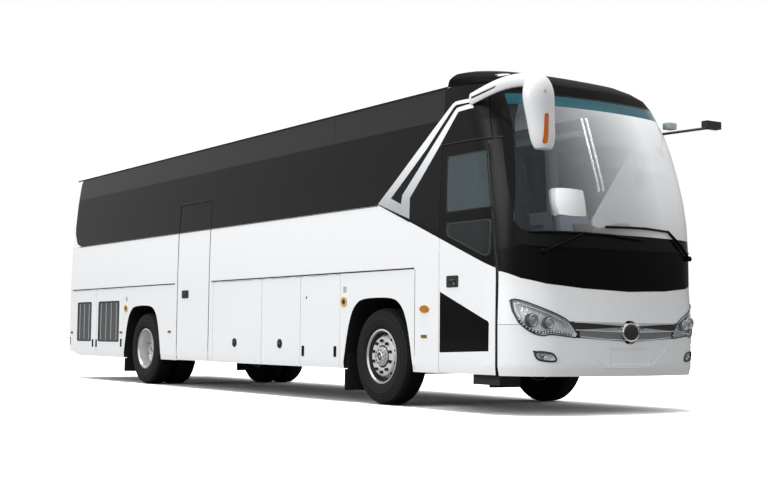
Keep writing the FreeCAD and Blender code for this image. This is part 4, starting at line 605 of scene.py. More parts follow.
for axle in ("front", "rear"):
    rubber = tyre_finish(axle)
    for word in ("right", "left"):
        dress("front_tyre_" + word if axle == "front" else "rear_tyres_" + word, [rubber])
        dress("front_wheel_" + word if axle == "front" else "rear_wheels_" + word,
              [polished_alloy, machined_alloy, shaded_alloy, dark_steel], wheel_finish(axle))
POD_Y, POD_BEVEL, STEP_BOX_X, STEP_BOX_Z = 1.36, 0.012, 4.6, 0.45
rounded_mirrors = merged_copy("mirrors")
pod_edges = [edge for edge in rounded_mirrors.edges
             if len(edge.link_faces) == 2 and edge.calc_face_angle() > 0.9
             and all(vert.co.y > POD_Y for vert in edge.verts)]
print("pod edges:", len(pod_edges))
bmesh.ops.bevel(rounded_mirrors, geom=pod_edges, offset=POD_BEVEL, segments=3, profile=0.5, affect="EDGES")
for face in rounded_mirrors.faces:
    face.material_index = int(face.calc_center_median().y > 0)
pod = put("dressed_mirrors", rounded_mirrors, [white_paint, grained_plastic], "coach", SLOT_OF["mirrors"])
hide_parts("mirrors")
dress("entry_steps", [floor_lino, grained_plastic], lambda m, n: int(m.z < STEP_BOX_Z and m.x > STEP_BOX_X))

# %% [markdown]
# Stripes, lenses and handles lie on the curved body. A flat outline is filled with a mesh of small
# triangles, and each corner is dropped onto the solids by a ray, from the side or from ahead. Lines are
# bars led the same way. A known fault: NOT_SKIN holds starts of names, so "engine" leaves out the two engine
# doors as well, and what is dropped towards those doors passes through them.

# %% Outlines dropped onto the body
NOT_SKIN = ("seats", "floor", "entry", "chassis", "dash", "engine", "rear_axle", "air_springs", "tanks",
            "steering", "front_tyre", "front_wheel", "rear_tyres", "rear_wheels", "knuckle", "wipers",
            "mirrors")
SKIN_NODES = [name for name in frame["nodes"] if SLOT_OF[name] and not name.startswith(NOT_SKIN)]
SIDE_START, END_START = 3, 9
NEAR_SIDE, NEAR_END = 2.1, 4.1


def surface_of(names):
    """A search tree over the faces of some nodes, and the node of each face."""
    mesh = bmesh.new()
    owners = []
    for name in names:
        mesh.from_mesh(frame["nodes"][name].data)
        owners += [name] * (len(mesh.faces) - len(owners))
    tree = BVHTree.FromBMesh(mesh)
    mesh.free()
    return tree, owners


BODY_SURFACE, FACE_OWNERS = surface_of(SKIN_NODES)


def dropped(start, way, across):
    """The outermost near hit; wider rays are used only where the near ones fall through a gap."""
    limit = NEAR_SIDE if abs(way.y) > 0.5 else NEAR_END
    hits = []
    for reach in ((0, 0.008, -0.008), (0.04, -0.04)):
        hits += [BODY_SURFACE.ray_cast(start + across * step, way) for step in reach]
        hits = [hit for hit in hits if hit[0] is not None]
        if any(hit[3] < limit for hit in hits):
            break
    return start + way * min(hit[3] for hit in hits)


def on_side(side):
    """Gives the place on the right (-1) or left (1) side for x and height."""
    out = Vector((0, side, 0))
    return lambda u, v: (dropped(Vector((u, side * SIDE_START, v)), -out, Vector((1, 0, 0.3))), out)


def on_nose(u, v):
    """The place on the nose for y and height."""
    return dropped(Vector((END_START, u, v)), Vector((-1, 0, 0)), Vector((0, 1, 0.3))), Vector((1, 0, 0))


def on_tail(u, v):
    """The place on the tail for y and height."""
    return dropped(Vector((-END_START, u, v)), Vector((1, 0, 0)), Vector((0, 1, 0.3))), Vector((-1, 0, 0))


def body_under(side, u, v):
    """The moving body whose panel lies at x and height on a side."""
    hit = BODY_SURFACE.ray_cast(Vector((u, side * SIDE_START, v)), Vector((0, -side, 0)))
    return BODY_OF[FACE_OWNERS[hit[2]]]


def within(point, loops):
    """True where a point lies inside an odd number of loops."""
    inside = False
    for loop in loops:
        for (x0, y0), (x1, y1) in zip(loop, loop[1:] + loop[:1]):
            crosses = (y0 > point[1]) != (y1 > point[1])
            if crosses and point[0] < x0 + (x1 - x0) * (point[1] - y0) / (y1 - y0):
                inside = not inside
    return inside


def stepped(a, b, step):
    """Points from a flat point up to, but without, the next."""
    parts = max(1, round((Vector(b) - Vector(a)).length / step))
    return [Vector(a).lerp(Vector(b), i / parts) for i in range(parts)]


def filled(loops, step):
    """Points and triangles that fill an outline with holes."""
    points, edges = [], []
    for loop in loops:
        first = len(points)
        for a, b in zip(loop, loop[1:] + loop[:1]):
            points += stepped(a, b, step)
        count = len(points) - first
        edges += [(first + i, first + (i + 1) % count) for i in range(count)]
    low_u, high_u = min(p[0] for p in points), max(p[0] for p in points)
    low_v, high_v = min(p[1] for p in points), max(p[1] for p in points)
    for i in range(1, int((high_u - low_u) / step)):
        for j in range(1, int((high_v - low_v) / step)):
            spot = (low_u + i * step, low_v + j * step)
            if within(spot, loops):
                points.append(Vector(spot))
    verts, _, faces, *_ = delaunay_2d_cdt(points, edges, [], 0, 1e-6)
    keep = [f for f in faces if within(sum((verts[i] for i in f), Vector((0, 0))) / 3, loops)]
    return verts, keep


def skin(name, loops, spot, finish, body="coach", slot_name=None, lift=0.0015, step=0.06, sink=0.0):
    """A thin piece laid on the body: lift is how proud it is, sink how deep its rim goes."""
    verts, faces = filled(loops, step)
    mesh = bmesh.new()
    used = sorted({i for face in faces for i in face})
    places = {i: spot(*verts[i]) for i in used}
    tops = {i: mesh.verts.new(places[i][0] + places[i][1] * lift) for i in used}
    out = places[used[0]][1]
    for face in faces:
        made = mesh.faces.new([tops[i] for i in face])
        made.normal_update()
        if made.normal.dot(out) < 0:
            made.normal_flip()
    if sink:
        rim = [edge for edge in mesh.edges if len(edge.link_faces) == 1]
        low = bmesh.ops.extrude_edge_only(mesh, edges=rim)
        for vert in [v for v in low["geom"] if isinstance(v, bmesh.types.BMVert)]:
            vert.co -= out * (lift + sink)
        bmesh.ops.recalc_face_normals(mesh, faces=mesh.faces)
    return put(name, mesh, [finish], body, slot_name)


def led(points, spot, lift=0.0, step=0.05, closed=False):
    """Places along a line of flat points, dropped onto the body."""
    chain = list(points) + ([points[0]] if closed else [])
    flat = [place for a, b in zip(chain, chain[1:]) for place in stepped(a, b, step)]
    flat += [] if closed else [Vector(chain[-1])]
    return [place + out * lift for place, out in (spot(*f) for f in flat)]


# %% [markdown]
# Outlines are drawn with few points and then rounded: a rectangle with round corners, an ellipse, a loop
# whose corners are cut or filleted, a loop drawn in towards its middle, and the same loop on the other
# side.

# %% Flat outlines
def rounded(u0, v0, u1, v1, radius, steps=5):
    """A rectangle with round corners, as a loop."""
    loop = []
    corners = ((u1 - radius, v1 - radius), (u0 + radius, v1 - radius), (u0 + radius, v0 + radius),
               (u1 - radius, v0 + radius))
    for quarter, (cu, cv) in enumerate(corners):
        for i in range(steps + 1):
            angle = math.radians(90 * quarter + 90 * i / steps)
            loop.append((cu + radius * math.cos(angle), cv + radius * math.sin(angle)))
    return loop


def plaque(u, v, half_u, half_v, radius):
    """A rounded rectangle about its middle."""
    return rounded(u - half_u, v - half_v, u + half_u, v + half_v, radius)


def oval(u, v, wide, high, steps=24):
    """An ellipse as a loop."""
    turns = [2 * math.pi * i / steps for i in range(steps)]
    return [(u + wide * math.cos(a), v + high * math.sin(a)) for a in turns]


def softened(loop, rounds=2, closed=True):
    """A loop whose corners are cut some times, so that it turns smoothly."""
    for _ in range(rounds):
        pairs = list(zip(loop, loop[1:] + loop[:1])) if closed else list(zip(loop, loop[1:]))
        cut = [tuple(Vector(a).lerp(Vector(b), share)) for a, b in pairs for share in (0.25, 0.75)]
        loop = cut if closed else [loop[0]] + cut + [loop[-1]]
    return loop


def filleted(loop, radius, steps=5):
    """A loop with each corner rounded by about a radius."""
    done = []
    for i, corner in enumerate(loop):
        corner = Vector(corner)
        before, after = Vector(loop[i - 1]), Vector(loop[(i + 1) % len(loop)])
        start = corner + (before - corner).normalized() * min(radius, (before - corner).length * 0.45)
        end = corner + (after - corner).normalized() * min(radius, (after - corner).length * 0.45)
        for k in range(steps + 1):
            share = k / steps
            done.append(tuple(start.lerp(corner, share).lerp(corner.lerp(end, share), share)))
    return done


def shrunk(loop, amount):
    """A loop drawn in towards its own middle by about a distance."""
    middle = sum((Vector(p) for p in loop), Vector((0, 0))) / len(loop)
    return [tuple(Vector(p) + (middle - Vector(p)).normalized() * amount) for p in loop]


def handed(loop, side):
    """A loop of y and height on the right (-1) or left (1) side."""
    return [(side * y, z) for y, z in loop]


# %% [markdown]
# Three ways to make a solid piece: a round bar along a path, a crowned cushion and a turned piece. Lines on
# the body are bars led over it.

# %% Bars, cushions and turned pieces
def joined(mesh, rings, closed=False, foot=True):
    """Skins a row of rings, with its two ends unless it is closed or open at the foot."""
    count = len(rings[0])
    for a, b in zip(rings, rings[1:] + (rings[:1] if closed else [])):
        for k in range(count):
            mesh.faces.new((a[k], a[(k + 1) % count], b[(k + 1) % count], b[k]))
    if foot and not closed:
        mesh.faces.new(rings[0][::-1])
    if not closed:
        mesh.faces.new(rings[-1])
    bmesh.ops.recalc_face_normals(mesh, faces=mesh.faces)


def tube(name, path, radius, finish, body="coach", slot_name=None, sides=8, closed=False):
    """A round bar along a path of places."""
    mesh = bmesh.new()
    count = len(path)
    rings = []
    lift = Vector((0, 0, 1))
    for i, place in enumerate(path):
        before = path[i - 1] if i or closed else place
        after = path[(i + 1) % count] if i < count - 1 or closed else place
        along = (after - before).normalized()
        if abs(along.dot(lift)) > 0.98:
            lift = Vector((1, 0, 0))
        across = along.cross(lift).normalized()
        lift = across.cross(along).normalized()
        turns = [2 * math.pi * k / sides for k in range(sides)]
        outward = [across * math.cos(a) + lift * math.sin(a) for a in turns]
        rings.append([mesh.verts.new(place + out * radius) for out in outward])
    joined(mesh, rings, closed)
    return put(name, mesh, [finish], body, slot_name, math.radians(60))


def line(name, points, spot, radius, finish, body="coach", lift=0.0, step=0.05, closed=False, **more):
    """A round bar led over the body along flat points."""
    return tube(name, led(points, spot, lift, step, closed), radius, finish, body, closed=closed, **more)


def pillow(mesh, centre, half, lean=0.0, softness=0.34, cuts=5):
    """Adds one crowned cushion: a box blended towards a ball, leaned about Y."""
    parts = cuts + 1
    turn = Matrix.Rotation(lean, 3, "Y")
    known = {}

    def corner(axis, end, i, j):
        """The vertex at a grid place of one face of the box, made once."""
        spot = [0.0, 0.0, 0.0]
        spot[axis], spot[axis - 1], spot[axis - 2] = end, i / parts * 2 - 1, j / parts * 2 - 1
        key = tuple(round(c, 4) for c in spot)
        if key not in known:
            cube = Vector(spot)
            soft = cube.lerp(cube.normalized() * 1.25, softness)
            arm = turn @ Vector([soft[k] * half[k] for k in range(3)])
            known[key] = mesh.verts.new(Vector(centre) + arm)
        return known[key]

    grid = [(i, j) for i in range(parts) for j in range(parts)]
    for axis in range(3):
        for end in (-1.0, 1.0):
            for i, j in grid:
                steps = ((i, j), (i + 1, j), (i + 1, j + 1), (i, j + 1))
                loop = [corner(axis, end, *step) for step in steps]
                mesh.faces.new(loop if end < 0 else loop[::-1])


def cushion(name, finish, centre, half, lean, softness, cuts, slot_name=None):
    """One crowned piece of its own."""
    mesh = bmesh.new()
    pillow(mesh, centre, half, lean, softness, cuts)
    return put(name, mesh, [finish], "coach", slot_name)


def turned(name, profile, centre, axis, finish, body="coach", slot_name=None, squeeze=1.0):
    """A turned piece: profile gives radius and distance along the axis; squeeze flattens its height."""
    axis = Vector(axis).normalized()
    across = axis.cross(Vector((0, 0, 1))).normalized()
    above = across.cross(axis)
    mesh = bmesh.new()
    turns = [2 * math.pi * k / 32 for k in range(32)]
    outward = [across * math.cos(a) + above * math.sin(a) * squeeze for a in turns]
    rings = []
    for radius, along in profile:
        middle = Vector(centre) + axis * along
        rings.append([mesh.verts.new(middle + out * max(radius, 0.0002)) for out in outward])
    joined(mesh, rings)
    return put(name, mesh, [finish], body, slot_name, math.radians(40))


# %% [markdown]
# A double stripe rises from the paint line to the front corner of the roof. Its foot is brushed silver that
# fades to white, and a dark slot parts its two arms. The same stripe is on both sides.

# %% Rising stripes
STRIPE_OUTER = [(3.294, 2.148), (4.568, 3.062), (4.618, 3.081), (4.84, 3.081), (4.902, 2.98), (4.674, 2.969),
                (4.366, 2.638), (3.897, 2.167), (3.898, 1.948)]
STRIPE_SLOT = [(3.538, 2.19), (4.153, 2.649), (4.593, 3.026), (4.634, 3.044), (4.834, 3.043), (4.843, 3.025),
               (4.648, 3.012), (4.615, 2.99), (4.228, 2.64), (3.753, 2.207), (3.737, 2.114)]
SILVER_Z, WHITE_Z = 2.35, 2.9


def fading_stripe():
    """White paint that turns to brushed silver towards the foot of the stripe."""
    material, tree, place = new_finish("stripe_film_white_to_silver")
    split = add(tree, "ShaderNodeSeparateXYZ", {"Vector": place})
    stretch = add(tree, "ShaderNodeMapping", {"Vector": place, "Scale": (9, 9, 90)})
    brush = noise(tree, stretch.outputs["Vector"], 6.0, 4.0)
    height = worked(tree, "MULTIPLY_ADD", brush, 0.5, split.outputs["Z"])
    tone = mixed(tree, ranged(tree, height, SILVER_Z, WHITE_Z), "#a9adb0", "#eceef0")
    return surfaced(material, {"Base Color": tone, "Roughness": 0.4})


stripe_film = fading_stripe()
for side, word in SIDES:
    skin("stripe_" + word, [STRIPE_OUTER, STRIPE_SLOT], on_side(side), stripe_film, "coach", "white_paint",
         step=0.07)
    line("stripe_foot_line_" + word, [(3.294, 2.142), (3.898, 1.915)], on_side(side), 0.004, seal_rubber)
print("stripes laid")

# %% [markdown]
# Small equal things, such as the wires of the grille, diodes and bolts, are one mesh each, copied to many
# spots by a node group. Its result is turned into a plain mesh, so that it rides like any other piece.

# %% Copies at many spots
def spreading_group():
    """Copies a piece onto points, turned, in one finish."""
    group = bpy.data.node_groups.new("spread_piece_on_points", "GeometryNodeTree")
    for label, kind in (("Points", "Geometry"), ("Piece", "Object"), ("Finish", "Material")):
        group.interface.new_socket(label, in_out="INPUT", socket_type="NodeSocket" + kind)
    group.interface.new_socket("Copies", in_out="OUTPUT", socket_type="NodeSocketGeometry")
    given = add(group, "NodeGroupInput")
    piece = add(group, "GeometryNodeObjectInfo", {"Object": given.outputs["Piece"]})
    turn = add(group, "GeometryNodeInputNamedAttribute", {"Name": "turn"}, data_type="FLOAT_VECTOR")
    copies = add(group, "GeometryNodeInstanceOnPoints", {
        "Points": given.outputs["Points"], "Instance": piece.outputs["Geometry"],
        "Rotation": turn.outputs["Attribute"]})
    solid = add(group, "GeometryNodeRealizeInstances", {"Geometry": copies.outputs["Instances"]})
    coated = add(group, "GeometryNodeSetMaterial", {"Geometry": solid.outputs["Geometry"],
                                                    "Material": given.outputs["Finish"]})
    add(group, "NodeGroupOutput", {"Copies": coated.outputs["Geometry"]})
    return group


SPREAD = spreading_group()


def spread(name, spots, profile, finish, body="coach", steps=10):
    """A turned piece at each spot, given as place and direction, as one object."""
    mesh = bmesh.new()
    turns = [2 * math.pi * k / steps for k in range(steps)]
    rings = [[mesh.verts.new((radius * math.cos(a), radius * math.sin(a), along)) for a in turns]
             for radius, along in profile]
    joined(mesh, rings, foot=False)
    pattern = bpy.data.objects.new(name + "_pattern", bpy.data.meshes.new(name + "_pattern"))
    mesh.to_mesh(pattern.data)
    mesh.free()
    points = bpy.data.meshes.new(name + "_points")
    points.from_pydata([tuple(place) for place, _ in spots], [], [])
    turn = points.attributes.new("turn", "FLOAT_VECTOR", "POINT")
    for i, (_, way) in enumerate(spots):
        turn.data[i].vector = Vector(way).to_track_quat("Z", "Y").to_euler()
    holder = bpy.data.objects.new(name, points)
    bpy.context.scene.collection.objects.link(holder)
    modifier = holder.modifiers.new("copies", "NODES")
    modifier.node_group = SPREAD
    sockets = {item.name: item.identifier for item in SPREAD.interface.items_tree}
    modifier[sockets["Piece"]] = pattern
    modifier[sockets["Finish"]] = finish
    result = holder.evaluated_get(bpy.context.evaluated_depsgraph_get())
    copies = bpy.data.meshes.new_from_object(result)
    bpy.data.objects.remove(holder)
    bpy.data.objects.remove(pattern)
    copies.shade_smooth()
    copies.set_sharp_from_angle(angle=math.radians(35))
    piece = bpy.data.objects.new(name, copies)
    bpy.context.scene.collection.objects.link(piece)
    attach(piece, body)
    return piece


# %% [markdown]
# Each headlamp is a hollow silvered bowl behind a clear cover, with two projector lenses, a row of diodes
# along the foot and a curved light guide at the outer corner. Its cover has a black moulded rim.

# %% Headlamps and fog lamps
HEADLAMP = [(1.175, 1.095), (1.113, 1.078), (0.984, 1.017), (0.862, 0.967), (0.759, 0.919), (0.703, 0.880),
            (0.593, 0.730), (0.799, 0.755), (0.914, 0.766), (0.956, 0.749), (1.022, 0.761), (1.083, 0.800),
            (1.136, 0.862), (1.171, 0.973), (1.182, 1.072)]
FOG_LAMP = [(1.038, 0.608), (0.88, 0.59), (0.845, 0.551), (0.842, 0.508), (0.976, 0.518), (1.015, 0.537)]
DIODE_ROW = [(1.13, 0.90), (1.105, 0.85), (1.06, 0.81), (1.01, 0.785), (0.955, 0.778), (0.91, 0.79),
             (0.80, 0.782), (0.66, 0.762)]
LIGHT_GUIDE = [(1.155, 1.06), (1.15, 0.98), (1.125, 0.92)]
LAMP_BROW = [(1.12, 1.05), (0.98, 0.99), (0.86, 0.94), (0.76, 0.895), (0.70, 0.84)]
PROJECTORS = [((1.03, 0.895), 1.0), ((0.892, 0.87), 0.85)]
PROJECTOR_PARTS = [
    ("shroud", [(0.064, -0.06), (0.064, -0.012), (0.06, -0.006), (0.054, -0.01), (0.05, -0.05)],
     dash_plastic),
    ("ring", [(0.056, -0.014), (0.058, -0.002), (0.052, 0.0), (0.048, -0.012)], chrome_plate),
    ("lens", [(0.045, -0.03), (0.043, -0.016), (0.034, -0.006), (0.02, 0.0), (0.006, 0.002)], lens_glass)]
DIODE_DOME = [(0.0075, 0.0), (0.0075, 0.004), (0.004, 0.008), (0.001, 0.009)]
FOG_REFLECTOR = [(0.034, -0.02), (0.036, 0.0), (0.03, 0.002), (0.012, -0.02)]
AHEAD = (1, 0, 0)

for side, word in SIDES:
    outline = softened(handed(HEADLAMP, side), 1)
    skin("lamp_bowl_" + word, [shrunk(outline, 0.004)], on_nose, bowl_silver, lift=-0.075, sink=0.004)
    cover = skin("lamp_cover_" + word, [outline], on_nose, lamp_glass, lift=-0.002, sink=0.004)
    if side < 0:
        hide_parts("front_lamps")
    line("lamp_rim_" + word, outline, on_nose, 0.006, grained_plastic, closed=True)
    for (y, z), size in PROJECTORS:
        place = on_nose(side * y, z)[0] - Vector((0.012, 0, 0))
        for part, profile, finish in PROJECTOR_PARTS:
            turned("projector_%s_%s_%d" % (part, word, y * 100), [(r * size, a) for r, a in profile], place,
                   AHEAD, finish)
    path = led(handed(DIODE_ROW, side), on_nose, lift=-0.02, step=0.026)
    spread("lamp_diodes_" + word, [(place, AHEAD) for place in path], DIODE_DOME, diode_white)
    tube("lamp_diode_bar_" + word, [place - Vector((0.008, 0, 0)) for place in path], 0.012, black_parts_and_painted_shade)
    line("lamp_light_guide_" + word, handed(LIGHT_GUIDE, side), on_nose, 0.008, diode_white, lift=-0.015)
    line("lamp_brow_" + word, handed(LAMP_BROW, side), on_nose, 0.012, chrome_plate, lift=-0.03)
    fog = softened(handed(FOG_LAMP, side), 2)
    skin("fog_bowl_" + word, [shrunk(fog, 0.006)], on_nose, bowl_silver, lift=-0.05, sink=0.004)
    skin("fog_lens_" + word, [shrunk(fog, 0.012)], on_nose, lamp_glass, lift=-0.012, sink=0.014)
    line("fog_rim_" + word, fog, on_nose, 0.009, grained_plastic, closed=True)
    place = on_nose(side * 0.94, 0.555)[0] - Vector((0.02, 0, 0))
    turned("fog_reflector_" + word, FOG_REFLECTOR, place, AHEAD, chrome_plate, squeeze=0.9)

# %% [markdown]
# Between the lamps, a chrome blade runs over a strip of fine wire mesh. In the middle is a blank round
# plate with a chrome ring, which bears no sign. Wipers are round rods that lie a little off the glass.

# %% Grille and wipers
GRILLE_TOP = [(0.66, 0.880), (0.33, 0.876), (0.0, 0.870), (-0.33, 0.876), (-0.66, 0.880)]
GRILLE_MIDDLE = [(-0.645, 0.808), (-0.33, 0.798), (0.0, 0.790), (0.33, 0.798), (0.645, 0.808)]
GRILLE_FOOT = [(0.59, 0.745), (0.3, 0.722), (0.0, 0.713), (-0.3, 0.722), (-0.59, 0.745)]
BADGE_Z, BADGE_HALF_Y, BADGE_HALF_Z, BADGE_SQUEEZE = 0.79, 0.116, 0.088, 0.81
ARC_TURNS = [math.pi * i / 12 for i in range(13)]
BADGE_ARC = [(-BADGE_HALF_Y * math.cos(a), BADGE_Z + BADGE_HALF_Z * math.sin(a)) for a in ARC_TURNS]
BADGE_RING = [(0.112, -0.004), (0.113, 0.006), (0.106, 0.014), (0.094, 0.012), (0.09, 0.002),
              (0.086, -0.012)]
BADGE_PLATE = [(0.09, 0.004), (0.088, 0.009), (0.07, 0.013), (0.066, 0.01), (0.03, 0.013), (0.001, 0.014)]
BLADE = GRILLE_TOP + GRILLE_MIDDLE[::-1][:2] + BADGE_ARC + GRILLE_MIDDLE[::-1][3:]
skin("grille_blade", [BLADE], on_nose, chrome_plate, lift=0.007, sink=0.002, step=0.05)
for name, edge in (("top", GRILLE_TOP), ("middle", GRILLE_MIDDLE), ("foot", GRILLE_FOOT)):
    line("grille_edge_" + name, edge, on_nose, 0.005, chrome_plate, lift=0.003)
MESH_PITCH, MESH_ROWS, MESH_HALF_Y, MESH_INNER_Y, FOOT_HALF_Y = 0.018, 5, 0.6, 0.1, 0.59
wires = []
for i in range(-33, 34):
    for j in range(MESH_ROWS):
        y = i * MESH_PITCH + (MESH_PITCH / 2 if j % 2 else 0)
        share = abs(y) / FOOT_HALF_Y
        low, high = 0.713 + 0.032 * share ** 2, 0.790 + 0.015 * share ** 2
        if MESH_INNER_Y < abs(y) < MESH_HALF_Y:
            wires.append((on_nose(y, low + (high - low) * (j + 0.5) / MESH_ROWS)[0], AHEAD))
MESH_CELL = [(0.0105, 0.0), (0.0105, 0.006), (0.0075, 0.006), (0.0075, 0.001), (0.0074, 0.0005)]
spread("grille_mesh", wires, MESH_CELL, wire_mesh, steps=6)
turned("badge_ring", BADGE_RING, (5.826, 0, BADGE_Z), AHEAD, chrome_plate, squeeze=BADGE_SQUEEZE)
turned("badge_plate", BADGE_PLATE, (5.833, 0, BADGE_Z), AHEAD, grained_plastic, squeeze=BADGE_SQUEEZE)
BUMPER_CREASE = [(-0.327, 0.455), (0.242, 0.452), (0.375, 0.512), (0.53, 0.65)]
for side, word in SIDES[::-1]:
    crease = softened(handed(BUMPER_CREASE, side), 2, False)
    line("bumper_crease_" + word, crease, on_nose, 0.005, white_paint, lift=-0.002)
WIPER_RODS = [(0.011, [(-0.95, 1.54), (-0.74, 1.635), (-0.537, 1.723)]),
              (0.008, [(-1.06, 1.721), (-0.915, 1.723), (-0.76, 1.725), (-0.537, 1.724)]),
              (0.012, [(-0.537, 1.724), (-0.2, 1.716), (0.189, 1.687)]),
              (0.012, [(0.969, 1.54), (0.8, 1.655), (0.592, 1.79)]),
              (0.01, [(-0.276, 1.795), (0.0, 1.803), (0.247, 1.806), (0.592, 1.793)])]
for i, (radius, path) in enumerate(WIPER_RODS):
    line("wiper_rod_%d" % i, path, on_nose, radius, wiper_black, lift=0.022, step=0.06)
SCUTTLE = [(-1.126, 1.608), (-1.05, 1.592), (-0.984, 1.585), (-0.338, 1.573), (0.3, 1.582), (0.806, 1.604),
           (1.1, 1.61)]
line("scuttle_seal", softened(SCUTTLE, 2, False), on_nose, 0.006, wiper_black, lift=-0.002,
     slot_name="black_rubber")
cushion("mirror_foot_cover", pale_plastic, (5.2, 1.185, 2.985), (0.045, 0.06, 0.034), 0.0, 0.12, 3)
PLATE_RECESS = rounded(-0.25, 0.48, 0.22, 0.62, 0.012)
line("plate_recess_line", PLATE_RECESS, on_nose, 0.003, white_paint, lift=-0.0015, closed=True)
skin("roof_marker", [oval(4.97, 3.33, 0.035, 0.02, 16)], on_side(-1), lens_clear, lift=0.006, sink=0.002,
     step=0.02)
print("front dressed")

# %% [markdown]
# Behind the hand holes is a brake drum, near black as painted shade for the holes, and each hub ends in a
# flanged cap. They turn with the wheels.
# Each mud flap ends in a rubber apron that is as wide as the body.

# %% Wheel fittings and aprons
SHADED_DRUM = [(0.2, -0.05), (0.257, -0.05), (0.257, 0.012), (0.2, 0.012)]
HUB_CAP = [(0.052, -0.004), (0.052, 0.003), (0.044, 0.006), (0.04, 0.0), (0.02, 0.0), (0.001, 0.001)]
STUD, STUD_COUNT, STUD_CIRCLE = [(0.009, 0.0), (0.009, 0.006), (0.006, 0.008)], 10, 0.072
for side, word in SIDES:
    out = (0, side, 0)
    for axle, drum_y, cap_y in (("front", TYRE_MIDDLE_Y, 1.235), ("rear", TYRE_MIDDLE_Y - 0.14, 1.122)):
        body = BODY_OF["front_wheel_" + word if axle == "front" else "rear_wheels_" + word]
        drum_at = (AXLE_X[axle], side * drum_y, TYRE_RADIUS)
        cap_at = (AXLE_X[axle], side * cap_y, TYRE_RADIUS)
        # Painted shade: the drum's near black darkens the hand holes in front of it.
        turned("brake_drum_%s_%s" % (axle, word), SHADED_DRUM, drum_at, out, black_parts_and_painted_shade, body, "cast_steel")
        turned("hub_cap_%s_%s" % (axle, word), HUB_CAP, cap_at, out, polished_alloy, body)
        studs = []
        for i in range(STUD_COUNT):
            angle = 2 * math.pi * i / STUD_COUNT
            around = (STUD_CIRCLE * math.cos(angle), STUD_CIRCLE * math.sin(angle))
            studs.append(((AXLE_X[axle] + around[0], side * (cap_y - 0.004), TYRE_RADIUS + around[1]), out))
        spread("hub_studs_%s_%s" % (axle, word), studs, STUD, dark_steel, body, steps=6)
FLAP_HALF_Y, APRON_TOP_Z, HANGER_Y, HANGER_Z = 1.268, 0.366, (1.15, 1.23), (0.36, 0.55)
flap_boxes = {}
for vertex in frame["nodes"]["mud_flaps"].data.vertices:
    key = (vertex.co.x > 0, vertex.co.y > 0)
    flap_boxes.setdefault(key, []).append(vertex.co)
aprons = bmesh.new()
for (front, left), spots in flap_boxes.items():
    back, ahead = min(v.x for v in spots), max(v.x for v in spots)
    foot, inner = min(v.z for v in spots) - (0.07 if front else 0.035), min(abs(v.y) for v in spots)
    for y0, y1, z0, z1 in ((inner, FLAP_HALF_Y, foot, APRON_TOP_Z), (*HANGER_Y, *HANGER_Z)):
        middle = ((back + ahead) / 2, (1 if left else -1) * (y0 + y1) / 2, (z0 + z1) / 2)
        pillow(aprons, middle, ((ahead - back) / 2 + 0.002, (y1 - y0) / 2, (z1 - z0) / 2), 0.0, 0.02, 2)
put("mud_flap_aprons", aprons, [flap_rubber])

# %% [markdown]
# The doors have black rubber rims round their panes, a sunk handle each and rubber seals. The slot ahead of
# the front door is measured with rays and closed by a seal.

# %% Doors
DOOR_PANES = [[(4.525, 2.532), (5.17, 2.536), (5.27, 1.97), (4.551, 1.962)],
              [(4.56, 1.86), (5.262, 1.86), (5.25, 1.52), (5.18, 1.5), (4.555, 1.735)]]
right = on_side(-1)
for i, pane in enumerate(DOOR_PANES):
    inner = filleted(shrunk(pane, 0.02), 0.06)
    skin("door_pane_rim_%d" % i, [shrunk(pane, 0.001), inner], right, seal_rubber, "front_door", lift=0.0008)
    line("door_pane_seal_%d" % i, inner, right, 0.004, dash_plastic, "front_door", lift=-0.002, step=0.1,
         closed=True, slot_name="black_rubber")
DOOR_FOOT_Z, DOOR_TOP_Z, LEVEL_STEP, LEVELS = 0.45, 2.65, 0.048, 45
SEARCH_X, SEARCH_STEP, SEARCH_COUNT, SEAL_LAP = 5.0, 0.004, 80, 0.012
slot_rear, slot_front = [], []
for step in range(LEVELS):
    level = DOOR_FOOT_Z + step * LEVEL_STEP
    tried = [SEARCH_X + k * SEARCH_STEP for k in range(SEARCH_COUNT)]
    open_x = [x for x in tried
              if BODY_SURFACE.ray_cast(Vector((x, -SIDE_START, level)), Vector((0, 1, 0)),
                                       NEAR_SIDE)[0] is None]
    if open_x:
        slot_rear.append((min(open_x) - SEAL_LAP, level))
        slot_front.append((max(open_x) + SEAL_LAP, level))
if slot_rear:
    slot_rear.append((slot_rear[-1][0], DOOR_TOP_Z))
    slot_front.append((slot_front[-1][0], DOOR_TOP_Z))
    print("door slot from", slot_rear[0], "to", slot_front[-1])
    skin("door_front_seal", [slot_rear + slot_front[::-1]], right, seal_rubber, lift=-0.012, step=0.03)
line("door_top_seal", [(4.418, 2.66), (5.268, 2.654)], right, 0.006, seal_rubber)
line("mid_door_top_seal", [(-1.775, 2.524), (-0.775, 2.524)], right, 0.008, seal_rubber)
for i, x in enumerate((-1.774, -0.775)):
    line("mid_door_side_seal_%d" % i, [(x, 0.40), (x, 2.52)], right, 0.005, seal_rubber, step=0.2)
HANDLES = [("front_door_handle", 4.568, 1.218, 4.762, 1.334),
           ("mid_door_handle", -1.617, 1.221, -1.408, 1.331)]
for name, x0, z0, x1, z1 in HANDLES:
    body = body_under(-1, x0, z0)
    x, z = (x0 + x1) / 2, (z0 + z1) / 2
    cup = rounded(x - 0.06, z - 0.035, x + 0.06, z + 0.03, 0.02)
    lever = [(x - 0.04, z + 0.012), (x + 0.05, z + 0.012)]
    lock = oval(x + 0.03, z - 0.022, 0.011, 0.011, 12)
    skin(name, [rounded(x0, z0, x1, z1, 0.018)], right, grained_plastic, body, lift=0.006, sink=0.001)
    skin(name + "_cup", [cup], right, black_parts_and_painted_shade, body, lift=0.0068)
    line(name + "_lever", lever, right, 0.009, dash_plastic, body, lift=0.008)
    skin(name + "_lock", [lock], right, chrome_plate, body, lift=0.009)
print("doors dressed")

